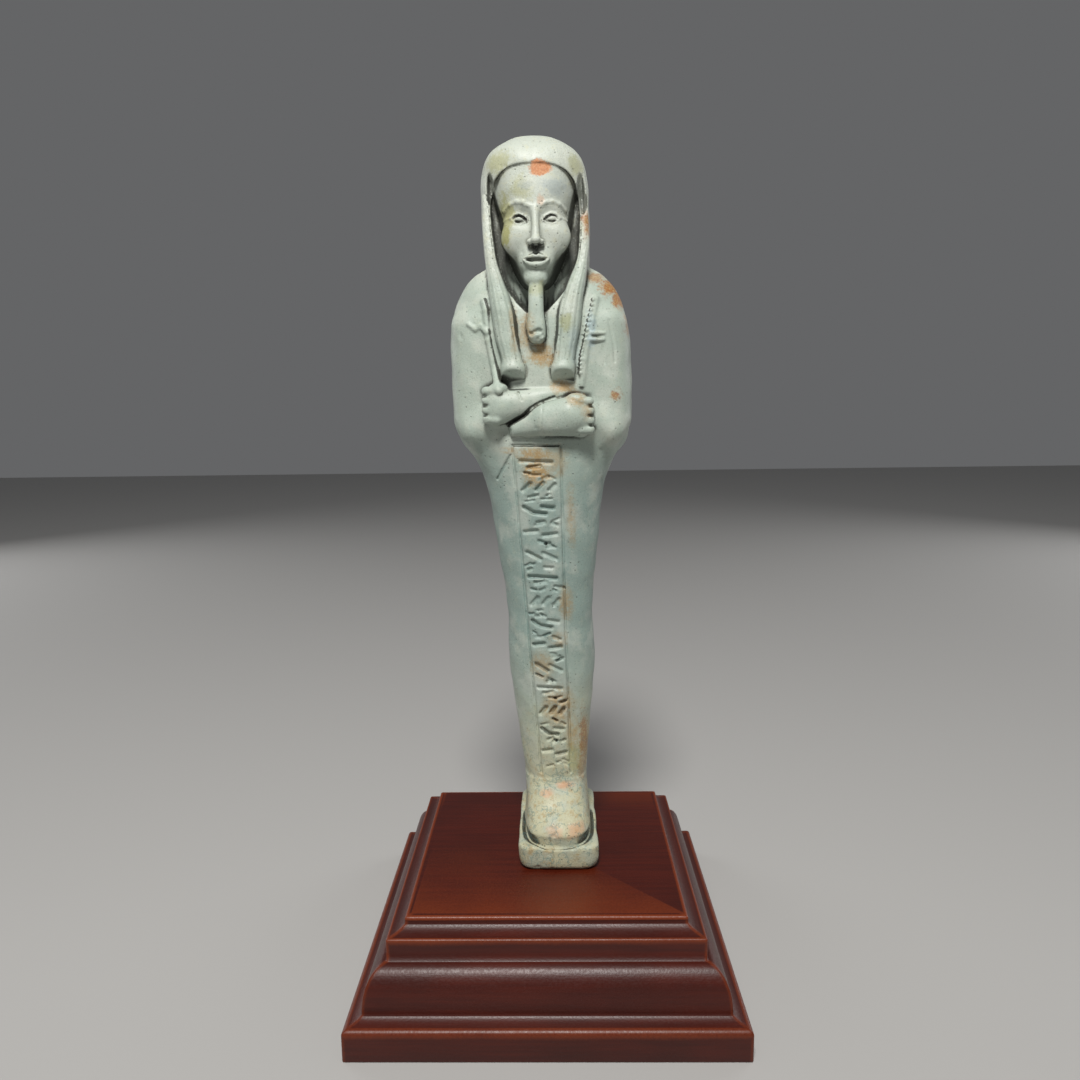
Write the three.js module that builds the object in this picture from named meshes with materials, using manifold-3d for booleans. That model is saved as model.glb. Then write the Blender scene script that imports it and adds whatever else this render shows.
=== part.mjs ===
// A faience ushabti on its moulded wooden display stand.
// Millimetres, +Z up, the figure looks along -Y. The origin is the middle of the stand's underside.

import * as THREE from 'three';
import { LoftGeometry } from 'three/addons/geometries/LoftGeometry.js';
import { mergeVertices } from 'three/addons/utils/BufferGeometryUtils.js';
import Module from 'manifold-3d';

const wasm = await Module();
wasm.setup();

// The stand: half widths of the square table, upper tier, ovolo and plinth, and the heights they end at.
// A cove runs from the table down to the tier, and another from the ovolo down to the plinth.
const STAND_HEIGHT = 24.6;
const TABLE_HALF = 30;
const TABLE_EDGE_RADIUS = 0.6;
const TABLE_FACE_BOTTOM = 23.1;
const COVE_BOTTOM = 21.7;
const TIER_HALF = 33.5;
const TIER_EDGE_RADIUS = 0.5;
const OVOLO_TOP = 16.8;
const OVOLO_BOTTOM = 8.4;
const OVOLO_HALF = 38.1;
const OVOLO_TOP_HALF = 33.8;
const LEDGE_TOP = 7.9;
const PLINTH_TOP = 6.9;
const PLINTH_HALF = 41.6;
const PLINTH_EDGE_RADIUS = 1.1;
const ARC_STEPS = 5;

// The figure: where it stands, and how its axis leans and turns on the way up.
const FIGURE_X = 2.9;
const FIGURE_Y = 4;
const LEAN_PER_MM = -0.0255;
const TURN = THREE.MathUtils.degToRad(-3);
const TURN_STARTS = 20;
const TURN_FULL = 70;
const TURN_EASES = 128;
const TURN_ENDS = 142;

// The base block under the feet, and the pillar up the back.
const BLOCK_HEIGHT = 6;
const BLOCK_DEPTH = 32;
const BLOCK_TOP_HALF = 9.4;
const BLOCK_BOTTOM_HALF = 8.3;
const BLOCK_ROUNDNESS = 7;
const PILLAR_TOP = 131;
const PILLAR_BACK = 14.3;
const PILLAR_FRONT = 4;
const PILLAR_HALF_BOTTOM = 4.8;
const PILLAR_HALF_TOP = 5.5;

// The wrapped body from the heels to the neck: half width, reach to the front, reach to the back.
const BODY = [
  { z: 3, half: 6.9, front: 6.6, back: 8.8 },
  { z: 16, half: 7.3, front: 7.0, back: 9.6 },
  { z: 31, half: 8.7, front: 7.5, back: 10.0 },
  { z: 47.7, half: 10.4, front: 8.7, back: 10.5 },
  { z: 57.7, half: 10.1, front: 8.9, back: 10.1 },
  { z: 65, half: 10.6, front: 9.0, back: 10.5 },
  { z: 74, half: 11.8, front: 9.3, back: 11.4 },
  { z: 85, half: 13.1, front: 9.8, back: 12.3 },
  { z: 91, half: 14.5, front: 10.1, back: 12.0 },
  { z: 95, half: 16.4, front: 10.3, back: 11.7 },
  { z: 98.6, half: 19.0, front: 10.5, back: 11.5 },
  { z: 103, half: 20.1, front: 10.6, back: 11.6 },
  { z: 116, half: 20.6, front: 10.5, back: 12.0 },
  { z: 124, half: 20.15, front: 10.2, back: 11.8 },
  { z: 129.7, half: 18.7, front: 8.8, back: 10.8 },
  { z: 133.2, half: 16.7, front: 6.8, back: 9.2 },
  { z: 136, half: 13.9, front: 4.2, back: 7.4 },
  { z: 138.5, half: 9.3, front: 1.5, back: 5.5 },
];
const BODY_ROUNDNESS = 2.3;

// The feet, from the block's top to the shins: the toes reach furthest at the bottom.
const FEET = [
  { z: 5, half: 7.9, front: 15.2, back: 2 },
  { z: 8, half: 8.0, front: 15.3, back: 2 },
  { z: 10, half: 7.7, front: 13.9, back: 2 },
  { z: 13, half: 7.35, front: 10.6, back: 2 },
  { z: 18, half: 6.9, front: 6.7, back: 2 },
];
const FEET_ROUNDNESS = 3.4;

// The wig: the cap over the skull with its back lappet.
const WIG = [
  { z: 127.5, half: 10.2, front: 5, back: 13.4 },
  { z: 133, half: 11.1, front: 7.4, back: 13.9 },
  { z: 139, half: 11.8, front: 8.4, back: 14.0 },
  { z: 148, half: 12.1, front: 9.6, back: 14.0 },
  { z: 156, half: 11.8, front: 10.6, back: 13.6 },
  { z: 159.3, half: 11.0, front: 10.0, back: 12.6 },
  { z: 161.6, half: 9.4, front: 8.5, back: 10.8 },
  { z: 163.2, half: 7.3, front: 6.4, back: 8.4 },
  { z: 164.5, half: 4.6, front: 3.9, back: 5.2 },
  { z: 165.1, half: 1.9, front: 1.6, back: 2.2 },
];
const WIG_ROUNDNESS = 2.25;

// The opening of the wig that frames the face and runs down to a point on the chest.
const HAIRLINE_TOP = 157.2;
const HAIRLINE_SPRING = 147;
const HAIRLINE_ROUNDNESS = 3;
const OPENING_HALF = 9.7;
const OPENING_SIDE_BOTTOM = 143;
const OPENING_POINT = 125.5;
const OPENING_FLOOR = 4;

// The lappets of the wig: inner and outer edge, reach to the front and where the back is buried.
const LAPPET = [
  { z: 111.8, inner: 3.9, outer: 7.3, front: 10.8, back: 7 },
  { z: 113.2, inner: 2.9, outer: 8.0, front: 12.3, back: 7 },
  { z: 114.4, inner: 3.0, outer: 8.0, front: 13.2, back: 7 },
  { z: 116.2, inner: 3.3, outer: 8.0, front: 12.9, back: 7 },
  { z: 121, inner: 3.9, outer: 9.0, front: 12.4, back: 6 },
  { z: 127, inner: 4.7, outer: 9.9, front: 11.8, back: 4 },
  { z: 131, inner: 6.0, outer: 10.3, front: 10.9, back: 2 },
  { z: 137, inner: 8.3, outer: 11.1, front: 9.4, back: 0 },
  { z: 144, inner: 9.3, outer: 11.5, front: 7.8, back: -1 },
  { z: 152, inner: 9.7, outer: 11.4, front: 6.2, back: -2 },
];
const LAPPET_STRANDS = 5;
const STRAND_SAMPLES = 3;
const STRAND_DEPTH = 0.35;

// The face, laid out by thirds: hairline, brow, foot of the nose, chin.
const FACE_HALF = 8.4;
const FACE_FRONT = 11.3;
const FACE_ROUNDNESS = 2.2;
const FACE_BACK = 2;
const CHIN_Z = 132;
const FACE_TOP_Z = 156;
const FACE_THIRD = (FACE_TOP_Z - CHIN_Z) / 3;
const NOSE_FOOT_Z = CHIN_Z + FACE_THIRD;
const BROW_Z = CHIN_Z + 2 * FACE_THIRD;
const EYE_Z = BROW_Z - 0.25 * FACE_THIRD;
const MOUTH_Z = NOSE_FOOT_Z - FACE_THIRD / 3;
const EYE_WIDTH = (2 * FACE_HALF) / 5;

// The neck and the false beard that hangs from the chin to the chest.
const NECK_HALF = 5;
const NECK_ROUNDNESS = 2;
const BEARD_HALF = 1.9;
const BEARD_ROUNDNESS = 3;
const BEARD_TOP = 133;
const BEARD_BOTTOM = 120;

// The crossed arms, standing out from the chest. The right arm crosses in front, its fist a little lower.
const FISTS = [
  { side: -1, x: 9.5, z: 106.8 },
  { side: 1, x: 8.9, z: 104.4 },
];
const FIST_Y = 10.9;
const ARM_BEHIND = [
  { at: [-8.4, -10.8, 106.4], radius: 3.7 },
  { at: [4.6, -9.6, 108.9], radius: 2.0 },
];
const ARM_IN_FRONT = [
  { at: [-6.0, -10.5, 101.5], radius: 1.6 },
  { at: [1.5, -11.1, 103.7], radius: 3.8 },
  { at: [6.5, -11.3, 104.2], radius: 4.3 },
];
const FINGERS = 4;
const FINGER_PITCH = 2.05;
const TOOL_RADIUS = 0.8;

// The column of signs down the front, framed by two lines that draw together and run a little aslant.
const COLUMN_BOTTOM = 20;
const COLUMN_TOP = 98;
const COLUMN_HALF_BOTTOM = 3.5;
const COLUMN_HALF_TOP = 5.4;
const COLUMN_ASLANT = -1.1;
const COLUMN_ROWS = 14;
const LINE_WIDTH = 0.7;
const LINE_DEPTH = 0.75;

// How finely the lofts are divided: sides round a ring, and the tallest step between two rings.
const BROAD = { sides: 30, step: 7 };
const FINE = { sides: 20, step: 4.5 };
const SMALL = { sides: 12 };

function smoothProfile(stations) {
  const keys = Object.keys(stations[0]).filter((key) => key !== 'z');
  const heights = stations.map((station) => station.z);
  const values = stations.flatMap((station) => keys.map((key) => station[key]));
  const curve = new THREE.CubicInterpolant(heights, values, keys.length);
  return (z) => {
    const result = curve.evaluate(z);
    return Object.fromEntries(keys.map((key, index) => [key, result[index]]));
  };
}

function levelsOf(stations, step) {
  const levels = [];
  for (let i = 1; i < stations.length; i++) {
    const from = stations[i - 1].z;
    const to = stations[i].z;
    const count = Math.ceil((to - from) / step);
    for (let k = 0; k < count; k++) levels.push(from + ((to - from) * k) / count);
  }
  levels.push(stations.at(-1).z);
  return levels;
}

function power(value, exponent) {
  return Math.sign(value) * Math.abs(value) ** exponent;
}

// A closed ring at one height: a superellipse whose front and back halves reach differently far.
function ring(z, { half, front, back }, roundness, sides) {
  const points = [];
  for (let i = 0; i < sides; i++) {
    const angle = (i / sides) * 2 * Math.PI;
    const across = power(Math.cos(angle), 2 / roundness);
    const along = power(Math.sin(angle), 2 / roundness);
    points.push(new THREE.Vector3(half * across, (along < 0 ? front : back) * along, z));
  }
  return points;
}

function capped(sections) {
  return new LoftGeometry(sections, { capStart: true, capEnd: true });
}

function loftRings(stations, roundness, detail) {
  const profile = smoothProfile(stations);
  return capped(levelsOf(stations, detail.step).map((z) => ring(z, profile(z), roundness, detail.sides)));
}

function toSolid(geometry) {
  const bare = new THREE.BufferGeometry().copy(geometry);
  bare.deleteAttribute('normal');
  bare.deleteAttribute('uv');
  const merged = mergeVertices(bare, 1e-4);
  return new wasm.Manifold(new wasm.Mesh({
    numProp: 3,
    vertProperties: new Float32Array(merged.attributes.position.array),
    triVerts: new Uint32Array(merged.index.array),
  }));
}

function toGeometry(solid) {
  const mesh = solid.getMesh();
  const geometry = new THREE.BufferGeometry();
  geometry.setAttribute('position', new THREE.BufferAttribute(mesh.vertProperties, 3));
  geometry.setIndex(new THREE.BufferAttribute(mesh.triVerts, 1));
  return geometry;
}

function joinAll(geometries) {
  return geometries.map(toSolid).reduce((whole, piece) => whole.add(piece));
}

function ellipsoid(centre, radii, tilt = 0, sides = 9) {
  const geometry = new THREE.SphereGeometry(1, sides, Math.round(sides * 0.6));
  geometry.scale(...radii);
  geometry.rotateY(tilt);
  return geometry.translate(...centre);
}

// A round-ended bar between two points.
function rod(from, to, radius, sides = 6) {
  const start = new THREE.Vector3(...from);
  const end = new THREE.Vector3(...to);
  const axis = end.clone().sub(start);
  const geometry = new THREE.CapsuleGeometry(radius, axis.length(), 3, sides);
  const turn = new THREE.Quaternion().setFromUnitVectors(new THREE.Vector3(0, 1, 0), axis.normalize());
  geometry.applyQuaternion(turn);
  const middle = start.add(end).multiplyScalar(0.5);
  return geometry.translate(middle.x, middle.y, middle.z);
}

const bodyProfile = smoothProfile(BODY);

// The y of the body's front surface at a height, a distance x to the side of the middle.
function frontSurface(x, z) {
  const { half, front } = bodyProfile(z);
  return -front * (1 - Math.abs(x / half) ** BODY_ROUNDNESS) ** (1 / BODY_ROUNDNESS);
}

function makeBlock() {
  const reach = BLOCK_DEPTH / 2;
  const taper = [
    { z: 0, half: BLOCK_BOTTOM_HALF, front: reach - 0.8, back: reach - 0.4 },
    { z: 1, half: BLOCK_BOTTOM_HALF + 0.6, front: reach - 0.2, back: reach },
    { z: BLOCK_HEIGHT - 0.8, half: BLOCK_TOP_HALF, front: reach, back: reach },
    { z: BLOCK_HEIGHT, half: BLOCK_TOP_HALF - 0.3, front: reach - 0.4, back: reach - 0.3 },
  ];
  return capped(taper.map((level) => ring(level.z, level, BLOCK_ROUNDNESS, BROAD.sides)));
}

function makePillar() {
  const section = (z, half) => [
    new THREE.Vector3(half, PILLAR_FRONT, z),
    new THREE.Vector3(half, PILLAR_BACK, z),
    new THREE.Vector3(-half, PILLAR_BACK, z),
    new THREE.Vector3(-half, PILLAR_FRONT, z),
  ];
  return capped([section(1, PILLAR_HALF_BOTTOM), section(PILLAR_TOP, PILLAR_HALF_TOP)]);
}

// The outline of the wig's opening, extruded from well in front of the face to the floor of the recess.
function makeOpening() {
  const outline = new THREE.Shape();
  outline.moveTo(0, OPENING_POINT);
  outline.quadraticCurveTo(OPENING_HALF * 0.78, OPENING_POINT + 4, OPENING_HALF, OPENING_SIDE_BOTTOM);
  outline.lineTo(OPENING_HALF, HAIRLINE_SPRING);
  for (let degrees = 15; degrees < 180; degrees += 15) {
    const angle = THREE.MathUtils.degToRad(degrees);
    const across = OPENING_HALF * power(Math.cos(angle), 2 / HAIRLINE_ROUNDNESS);
    const rise = (HAIRLINE_TOP - HAIRLINE_SPRING) * power(Math.sin(angle), 2 / HAIRLINE_ROUNDNESS);
    outline.lineTo(across, HAIRLINE_SPRING + rise);
  }
  outline.lineTo(-OPENING_HALF, HAIRLINE_SPRING);
  outline.lineTo(-OPENING_HALF, OPENING_SIDE_BOTTOM);
  outline.quadraticCurveTo(-OPENING_HALF * 0.78, OPENING_POINT + 4, 0, OPENING_POINT);
  const depth = 16;
  const geometry = new THREE.ExtrudeGeometry(outline, { depth, curveSegments: 8, bevelEnabled: false });
  geometry.rotateX(Math.PI / 2);
  return geometry.translate(0, -OPENING_FLOOR, 0);
}

// One horizontal slice of a lappet: a band whose front is scalloped into strands.
function lappetSlice(z, { inner, outer, front, back }, side) {
  const points = [new THREE.Vector3(outer, -back, z), new THREE.Vector3(inner, -back, z)];
  const samples = LAPPET_STRANDS * STRAND_SAMPLES;
  for (let i = 0; i <= samples; i++) {
    const along = i / samples;
    const crown = Math.sqrt(Math.abs(Math.sin(Math.PI * along * LAPPET_STRANDS)));
    const fall = 1.3 * (2 * along - 1) ** 4;
    const y = -front + fall + STRAND_DEPTH * (1 - crown);
    points.push(new THREE.Vector3(inner + (outer - inner) * along, y, z));
  }
  if (side > 0) return points;
  return points.map((point) => new THREE.Vector3(-point.x, point.y, point.z)).reverse();
}

function makeLappet(side) {
  const profile = smoothProfile(LAPPET);
  return capped(levelsOf(LAPPET, BROAD.step).map((z) => lappetSlice(z, profile(z), side)));
}

function makeFaceOval() {
  const stations = [
    { z: CHIN_Z - 0.3, half: 1.8, front: FACE_FRONT - 1.9, back: FACE_BACK },
    { z: CHIN_Z + 0.7, half: 3.2, front: FACE_FRONT - 0.5, back: FACE_BACK },
    { z: CHIN_Z + 3, half: 4.9, front: FACE_FRONT - 0.4, back: FACE_BACK },
    { z: MOUTH_Z + 1.5, half: 6.5, front: FACE_FRONT - 0.1, back: FACE_BACK },
    { z: NOSE_FOOT_Z + 3, half: 7.8, front: FACE_FRONT, back: FACE_BACK },
    { z: EYE_Z, half: FACE_HALF, front: FACE_FRONT - 0.1, back: FACE_BACK },
    { z: BROW_Z + 4, half: FACE_HALF + 0.9, front: FACE_FRONT - 0.3, back: FACE_BACK },
    { z: HAIRLINE_TOP + 1, half: 8.6, front: FACE_FRONT - 1.4, back: FACE_BACK },
  ];
  return loftRings(stations, FACE_ROUNDNESS, FINE);
}

function makeNose() {
  const section = (z, half, front) => [
    new THREE.Vector3(half, -FACE_FRONT + 1.6, z),
    new THREE.Vector3(-half, -FACE_FRONT + 1.6, z),
    new THREE.Vector3(-half * 0.85, -front + 1, z),
    new THREE.Vector3(-half * 0.35, -front, z),
    new THREE.Vector3(half * 0.35, -front, z),
    new THREE.Vector3(half * 0.85, -front + 1, z),
  ];
  const wing = EYE_WIDTH / 2;
  return capped([
    section(NOSE_FOOT_Z, wing * 0.9, FACE_FRONT + 1.4),
    section(NOSE_FOOT_Z + 0.7, wing, FACE_FRONT + 2.3),
    section(NOSE_FOOT_Z + 2, wing * 0.75, FACE_FRONT + 2.0),
    section(EYE_Z, wing * 0.5, FACE_FRONT + 0.7),
    section(BROW_Z + 1, wing * 0.6, FACE_FRONT + 0.1),
  ]);
}

function faceFeatures() {
  const features = [makeNose()];
  for (const side of [-1, 1]) {
    const x = side * EYE_WIDTH;
    const brow = [EYE_WIDTH * 0.62, 0.8, 0.45];
    features.push(ellipsoid([x, -FACE_FRONT + 0.9, EYE_Z], [EYE_WIDTH / 2, 0.9, 0.85]));
    features.push(ellipsoid([x, -FACE_FRONT + 0.8, BROW_Z + 0.5], brow, side * 0.12));
  }
  features.push(ellipsoid([0, -FACE_FRONT + 0.5, MOUTH_Z + 0.55], [EYE_WIDTH * 0.72, 1.2, 0.6]));
  features.push(ellipsoid([0, -FACE_FRONT + 0.6, MOUTH_Z - 0.65], [EYE_WIDTH * 0.6, 1.2, 0.65]));
  features.push(ellipsoid([0, -FACE_FRONT + 1.5, CHIN_Z + 1.7], [2.4, 1.7, 1.6]));
  return features;
}

function makeNeck() {
  const stations = [
    { z: 124, half: NECK_HALF + 3, front: 9, back: 4 },
    { z: 129, half: NECK_HALF + 0.6, front: 6.4, back: 4 },
    { z: 136, half: NECK_HALF, front: 5.4, back: 4 },
    { z: 142, half: NECK_HALF, front: 5.6, back: 4 },
  ];
  return loftRings(stations, NECK_ROUNDNESS, FINE);
}

function makeBeard() {
  const stations = [
    { z: BEARD_BOTTOM - 0.2, half: 1.2, front: 12.2, back: 8 },
    { z: BEARD_BOTTOM + 1, half: BEARD_HALF, front: 12.9, back: 8 },
    { z: 127, half: BEARD_HALF * 0.9, front: 12.6, back: 7 },
    { z: BEARD_TOP, half: BEARD_HALF * 0.8, front: 11.2, back: 5 },
  ];
  const slices = stations.map(({ z, half, front, back }) => {
    const depth = (front - back) / 2;
    const middle = new THREE.Vector3(0, -(front + back) / 2, 0);
    const slice = ring(z, { half, front: depth, back: depth }, BEARD_ROUNDNESS, SMALL.sides);
    return slice.map((point) => point.add(middle));
  });
  return capped(slices);
}

function makeFist({ side, x, z: middle }) {
  const pieces = [ellipsoid([side * x, -FIST_Y, middle], [3.0, 2.6, 4.7], 0, 14)];
  for (let i = 0; i < FINGERS; i++) {
    const z = middle + (i - (FINGERS - 1) / 2) * FINGER_PITCH;
    const knuckle = [side * (x - 0.4), -FIST_Y - 2.0, z];
    const fingertip = [side * (x + 2.0), -FIST_Y - 1.1, z];
    pieces.push(rod(knuckle, fingertip, FINGER_PITCH / 2));
  }
  pieces.push(ellipsoid([side * (x - 1.2), -FIST_Y - 1.2, middle + 4], [1.7, 1.5, 1.2]));
  return pieces;
}

// A round-ended bar that tapers from one radius to the other, a little flattened front to back.
function taperedBar(start, end, sides = 14) {
  const from = new THREE.Vector3(...start.at);
  const axis = new THREE.Vector3(...end.at).sub(from);
  const length = axis.length();
  const caps = [15, 50, 90].map((degrees) => THREE.MathUtils.degToRad(degrees));
  const rings = [
    ...caps.map((a) => ({ z: -start.radius * Math.cos(a), half: start.radius * Math.sin(a) })),
    ...caps.reverse().map((a) => ({ z: length + end.radius * Math.cos(a), half: end.radius * Math.sin(a) })),
  ];
  const geometry = capped(rings.map(({ z, half }) => ring(z, { half, front: half, back: half }, 2, sides)));
  const turn = new THREE.Quaternion().setFromUnitVectors(new THREE.Vector3(0, 0, 1), axis.normalize());
  return geometry.applyQuaternion(turn).scale(1, 0.8, 1).translate(from.x, from.y, from.z);
}

function makeArms() {
  const arms = [];
  for (const chain of [ARM_BEHIND, ARM_IN_FRONT]) {
    for (let i = 1; i < chain.length; i++) arms.push(taperedBar(chain[i - 1], chain[i]));
  }
  return [...arms, ...FISTS.flatMap(makeFist)];
}

function onChest(x, z, sink = 0.2) {
  return [x, frontSurface(x, z) + sink, z];
}

// The hoe, and the second tool with the cord of the seed bag, held up against the shoulders.
function makeTools() {
  return [
    rod(onChest(-11.6, 129), onChest(-10.7, 120), TOOL_RADIUS),
    rod(onChest(-10.7, 120), onChest(-8.6, 110), TOOL_RADIUS),
    rod(onChest(-11.6, 123.4), onChest(-15, 124.2), TOOL_RADIUS),
    rod(onChest(12.1, 129), onChest(10.7, 122), TOOL_RADIUS),
    rod(onChest(10.7, 122), onChest(9.2, 110), TOOL_RADIUS),
    rod(onChest(11.6, 121.4), onChest(14.6, 121.4), TOOL_RADIUS * 0.8),
  ];
}

function columnMiddle(z) {
  return (COLUMN_ASLANT * (z - COLUMN_BOTTOM)) / (COLUMN_TOP - COLUMN_BOTTOM);
}

function columnHalf(z) {
  const share = (z - COLUMN_BOTTOM) / (COLUMN_TOP - COLUMN_BOTTOM);
  return THREE.MathUtils.lerp(COLUMN_HALF_BOTTOM, COLUMN_HALF_TOP, share);
}

// A groove cut along a chain of points, given as shares across the column and heights.
function grooves(chain) {
  const bars = [];
  const points = chain.map(([share, z]) => {
    const x = columnMiddle(z) + share * columnHalf(z);
    return new THREE.Vector3(x, frontSurface(x, z), z);
  });
  for (let i = 1; i < points.length; i++) {
    const along = points[i].clone().sub(points[i - 1]);
    const bar = new THREE.BoxGeometry(along.length() + LINE_WIDTH, LINE_WIDTH, 4);
    bar.translate(0, 0, 2 - LINE_DEPTH);
    const aside = new THREE.Vector3(0, -1, 0).cross(along.normalize()).normalize();
    const outward = along.clone().cross(aside);
    bar.applyMatrix4(new THREE.Matrix4().makeBasis(along, aside, outward));
    const middle = points[i].clone().add(points[i - 1]).multiplyScalar(0.5);
    bars.push(bar.translate(middle.x, middle.y, middle.z));
  }
  return bars;
}

// Plain strokes that take turns down the column: they only give its rhythm and don't spell anything.
const MARKS = [
  (z) => [[[-0.7, z + 0.5], [0.6, z + 0.2]], [[-0.4, z - 0.9], [0.1, z - 0.6]]],
  (z) => [[[-0.7, z - 0.8], [-0.35, z + 0.8]], [[-0.1, z - 0.6], [0.2, z + 0.9]], [[0.45, z - 0.8], [0.7, z + 0.5]]],
  (z) => [[[-0.7, z + 0.7], [-0.3, z - 0.5], [0.25, z - 0.8]], [[0.1, z + 0.8], [0.6, z + 0.5]]],
  (z) => [[[-0.75, z + 0.3], [-0.2, z + 0.6]], [[0.1, z - 0.5], [0.7, z - 0.1]]],
  (z) => [[[-0.7, z + 0.9], [-0.1, z - 0.7]], [[0.05, z + 0.7], [0.65, z - 0.6]]],
];

function columnCuts() {
  const cuts = [];
  for (const side of [-1, 1]) {
    for (let z = COLUMN_BOTTOM; z < COLUMN_TOP; z += 13) cuts.push(...grooves([[side, z], [side, z + 13]]));
  }
  cuts.push(...grooves([[-1, COLUMN_TOP], [0, COLUMN_TOP], [1, COLUMN_TOP]]));
  const pitch = (COLUMN_TOP - COLUMN_BOTTOM - 4) / COLUMN_ROWS;
  for (let row = 0; row < COLUMN_ROWS; row++) {
    const z = COLUMN_TOP - 4 - row * pitch;
    for (const chain of MARKS[row % MARKS.length](z)) cuts.push(...grooves(chain));
  }
  return cuts;
}

// The lean and the slight turn of the hand-made figure; heights stay as they are.
function settle(geometry) {
  const position = geometry.attributes.position;
  for (let i = 0; i < position.count; i++) {
    const z = position.getZ(i);
    const rise = THREE.MathUtils.smoothstep(z, TURN_STARTS, TURN_FULL);
    const ease = 1 - THREE.MathUtils.smoothstep(z, TURN_EASES, TURN_ENDS);
    const angle = TURN * rise * ease;
    const x = position.getX(i) * Math.cos(angle) - position.getY(i) * Math.sin(angle);
    const y = position.getX(i) * Math.sin(angle) + position.getY(i) * Math.cos(angle);
    position.setXYZ(i, x + LEAN_PER_MM * z, y, z);
  }
  return geometry;
}

function makeUshabti() {
  const wig = loftRings(WIG, WIG_ROUNDNESS, { ...BROAD, step: FINE.step });
  const head = toSolid(wig).subtract(toSolid(makeOpening()));
  const trunk = joinAll([
    makeBlock(),
    loftRings(BODY, BODY_ROUNDNESS, BROAD),
    loftRings(FEET, FEET_ROUNDNESS, FINE),
    makePillar(),
    makeNeck(),
  ]);
  const inscribed = columnCuts().map(toSolid).reduce((solid, cut) => solid.subtract(cut), trunk);
  const carved = joinAll([
    makeLappet(-1),
    makeLappet(1),
    makeFaceOval(),
    ...faceFeatures(),
    makeBeard(),
    ...makeArms(),
    ...makeTools(),
  ]);
  const faience = new THREE.MeshStandardMaterial({ color: 0xa6b7ab, roughness: 0.45, metalness: 0 });
  const ushabti = new THREE.Mesh(settle(toGeometry(inscribed.add(head).add(carved))), faience);
  ushabti.name = 'ushabti';
  ushabti.position.set(FIGURE_X, FIGURE_Y, STAND_HEIGHT);
  return ushabti;
}

// The stand's outline from the underside up: x is the half width, y the height.
function standOutline() {
  const outline = new THREE.Path();
  const quarter = Math.PI / 2;
  const roundedEdge = (half, top, radius) => {
    outline.lineTo(half, top - radius);
    outline.absarc(half - radius, top - radius, radius, 0, quarter);
  };
  const cove = (outer, bottom, inner, top) => {
    outline.absellipse(outer, top, outer - inner, top - bottom, -quarter, -2 * quarter, true);
  };
  outline.moveTo(PLINTH_HALF, 0);
  roundedEdge(PLINTH_HALF, PLINTH_TOP, PLINTH_EDGE_RADIUS);
  cove(PLINTH_HALF - PLINTH_EDGE_RADIUS, PLINTH_TOP, OVOLO_HALF, LEDGE_TOP);
  outline.lineTo(OVOLO_HALF, OVOLO_BOTTOM);
  const ovoloReach = OVOLO_HALF - OVOLO_TOP_HALF;
  outline.absellipse(OVOLO_TOP_HALF, OVOLO_BOTTOM, ovoloReach, OVOLO_TOP - OVOLO_BOTTOM, 0, quarter);
  outline.lineTo(TIER_HALF, OVOLO_TOP);
  roundedEdge(TIER_HALF, COVE_BOTTOM, TIER_EDGE_RADIUS);
  cove(TIER_HALF - TIER_EDGE_RADIUS, COVE_BOTTOM, TABLE_HALF, TABLE_FACE_BOTTOM);
  roundedEdge(TABLE_HALF, STAND_HEIGHT, TABLE_EDGE_RADIUS);
  return outline.getPoints(ARC_STEPS);
}

function makeStand() {
  const sections = standOutline().map(({ x: half, y: z }) => [
    new THREE.Vector3(half, -half, z),
    new THREE.Vector3(half, half, z),
    new THREE.Vector3(-half, half, z),
    new THREE.Vector3(-half, -half, z),
  ]);
  const lacqueredWood = new THREE.MeshStandardMaterial({ color: 0x4a1408, roughness: 0.3, metalness: 0 });
  const stand = new THREE.Mesh(toGeometry(toSolid(capped(sections))), lacqueredWood);
  stand.name = 'display_stand';
  return stand;
}

const part = new THREE.Group();
part.add(makeStand(), makeUshabti());

export default part;
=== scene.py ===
import math
import bpy
import numpy as np
from mathutils import Matrix, Vector


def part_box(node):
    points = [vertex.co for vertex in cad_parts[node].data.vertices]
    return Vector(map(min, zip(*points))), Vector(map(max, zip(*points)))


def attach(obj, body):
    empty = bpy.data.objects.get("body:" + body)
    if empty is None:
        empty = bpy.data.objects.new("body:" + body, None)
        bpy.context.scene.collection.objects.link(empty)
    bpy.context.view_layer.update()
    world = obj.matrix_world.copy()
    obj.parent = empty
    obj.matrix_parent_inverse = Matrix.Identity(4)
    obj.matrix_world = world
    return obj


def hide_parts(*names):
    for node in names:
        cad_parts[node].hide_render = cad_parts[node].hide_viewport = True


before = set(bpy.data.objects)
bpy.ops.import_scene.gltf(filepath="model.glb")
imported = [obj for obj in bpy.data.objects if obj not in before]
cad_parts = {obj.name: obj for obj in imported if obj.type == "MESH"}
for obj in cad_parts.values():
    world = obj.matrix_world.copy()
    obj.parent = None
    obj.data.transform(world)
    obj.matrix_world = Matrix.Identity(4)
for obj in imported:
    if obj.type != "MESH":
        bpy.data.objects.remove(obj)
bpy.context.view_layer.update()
mm = 0.001
standLow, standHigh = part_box("display_stand")
standHeight = standHigh.z / mm
print("frame loaded")


# ---- shapes as distance fields, in millimetres, in the figure's own upright frame ----

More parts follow.
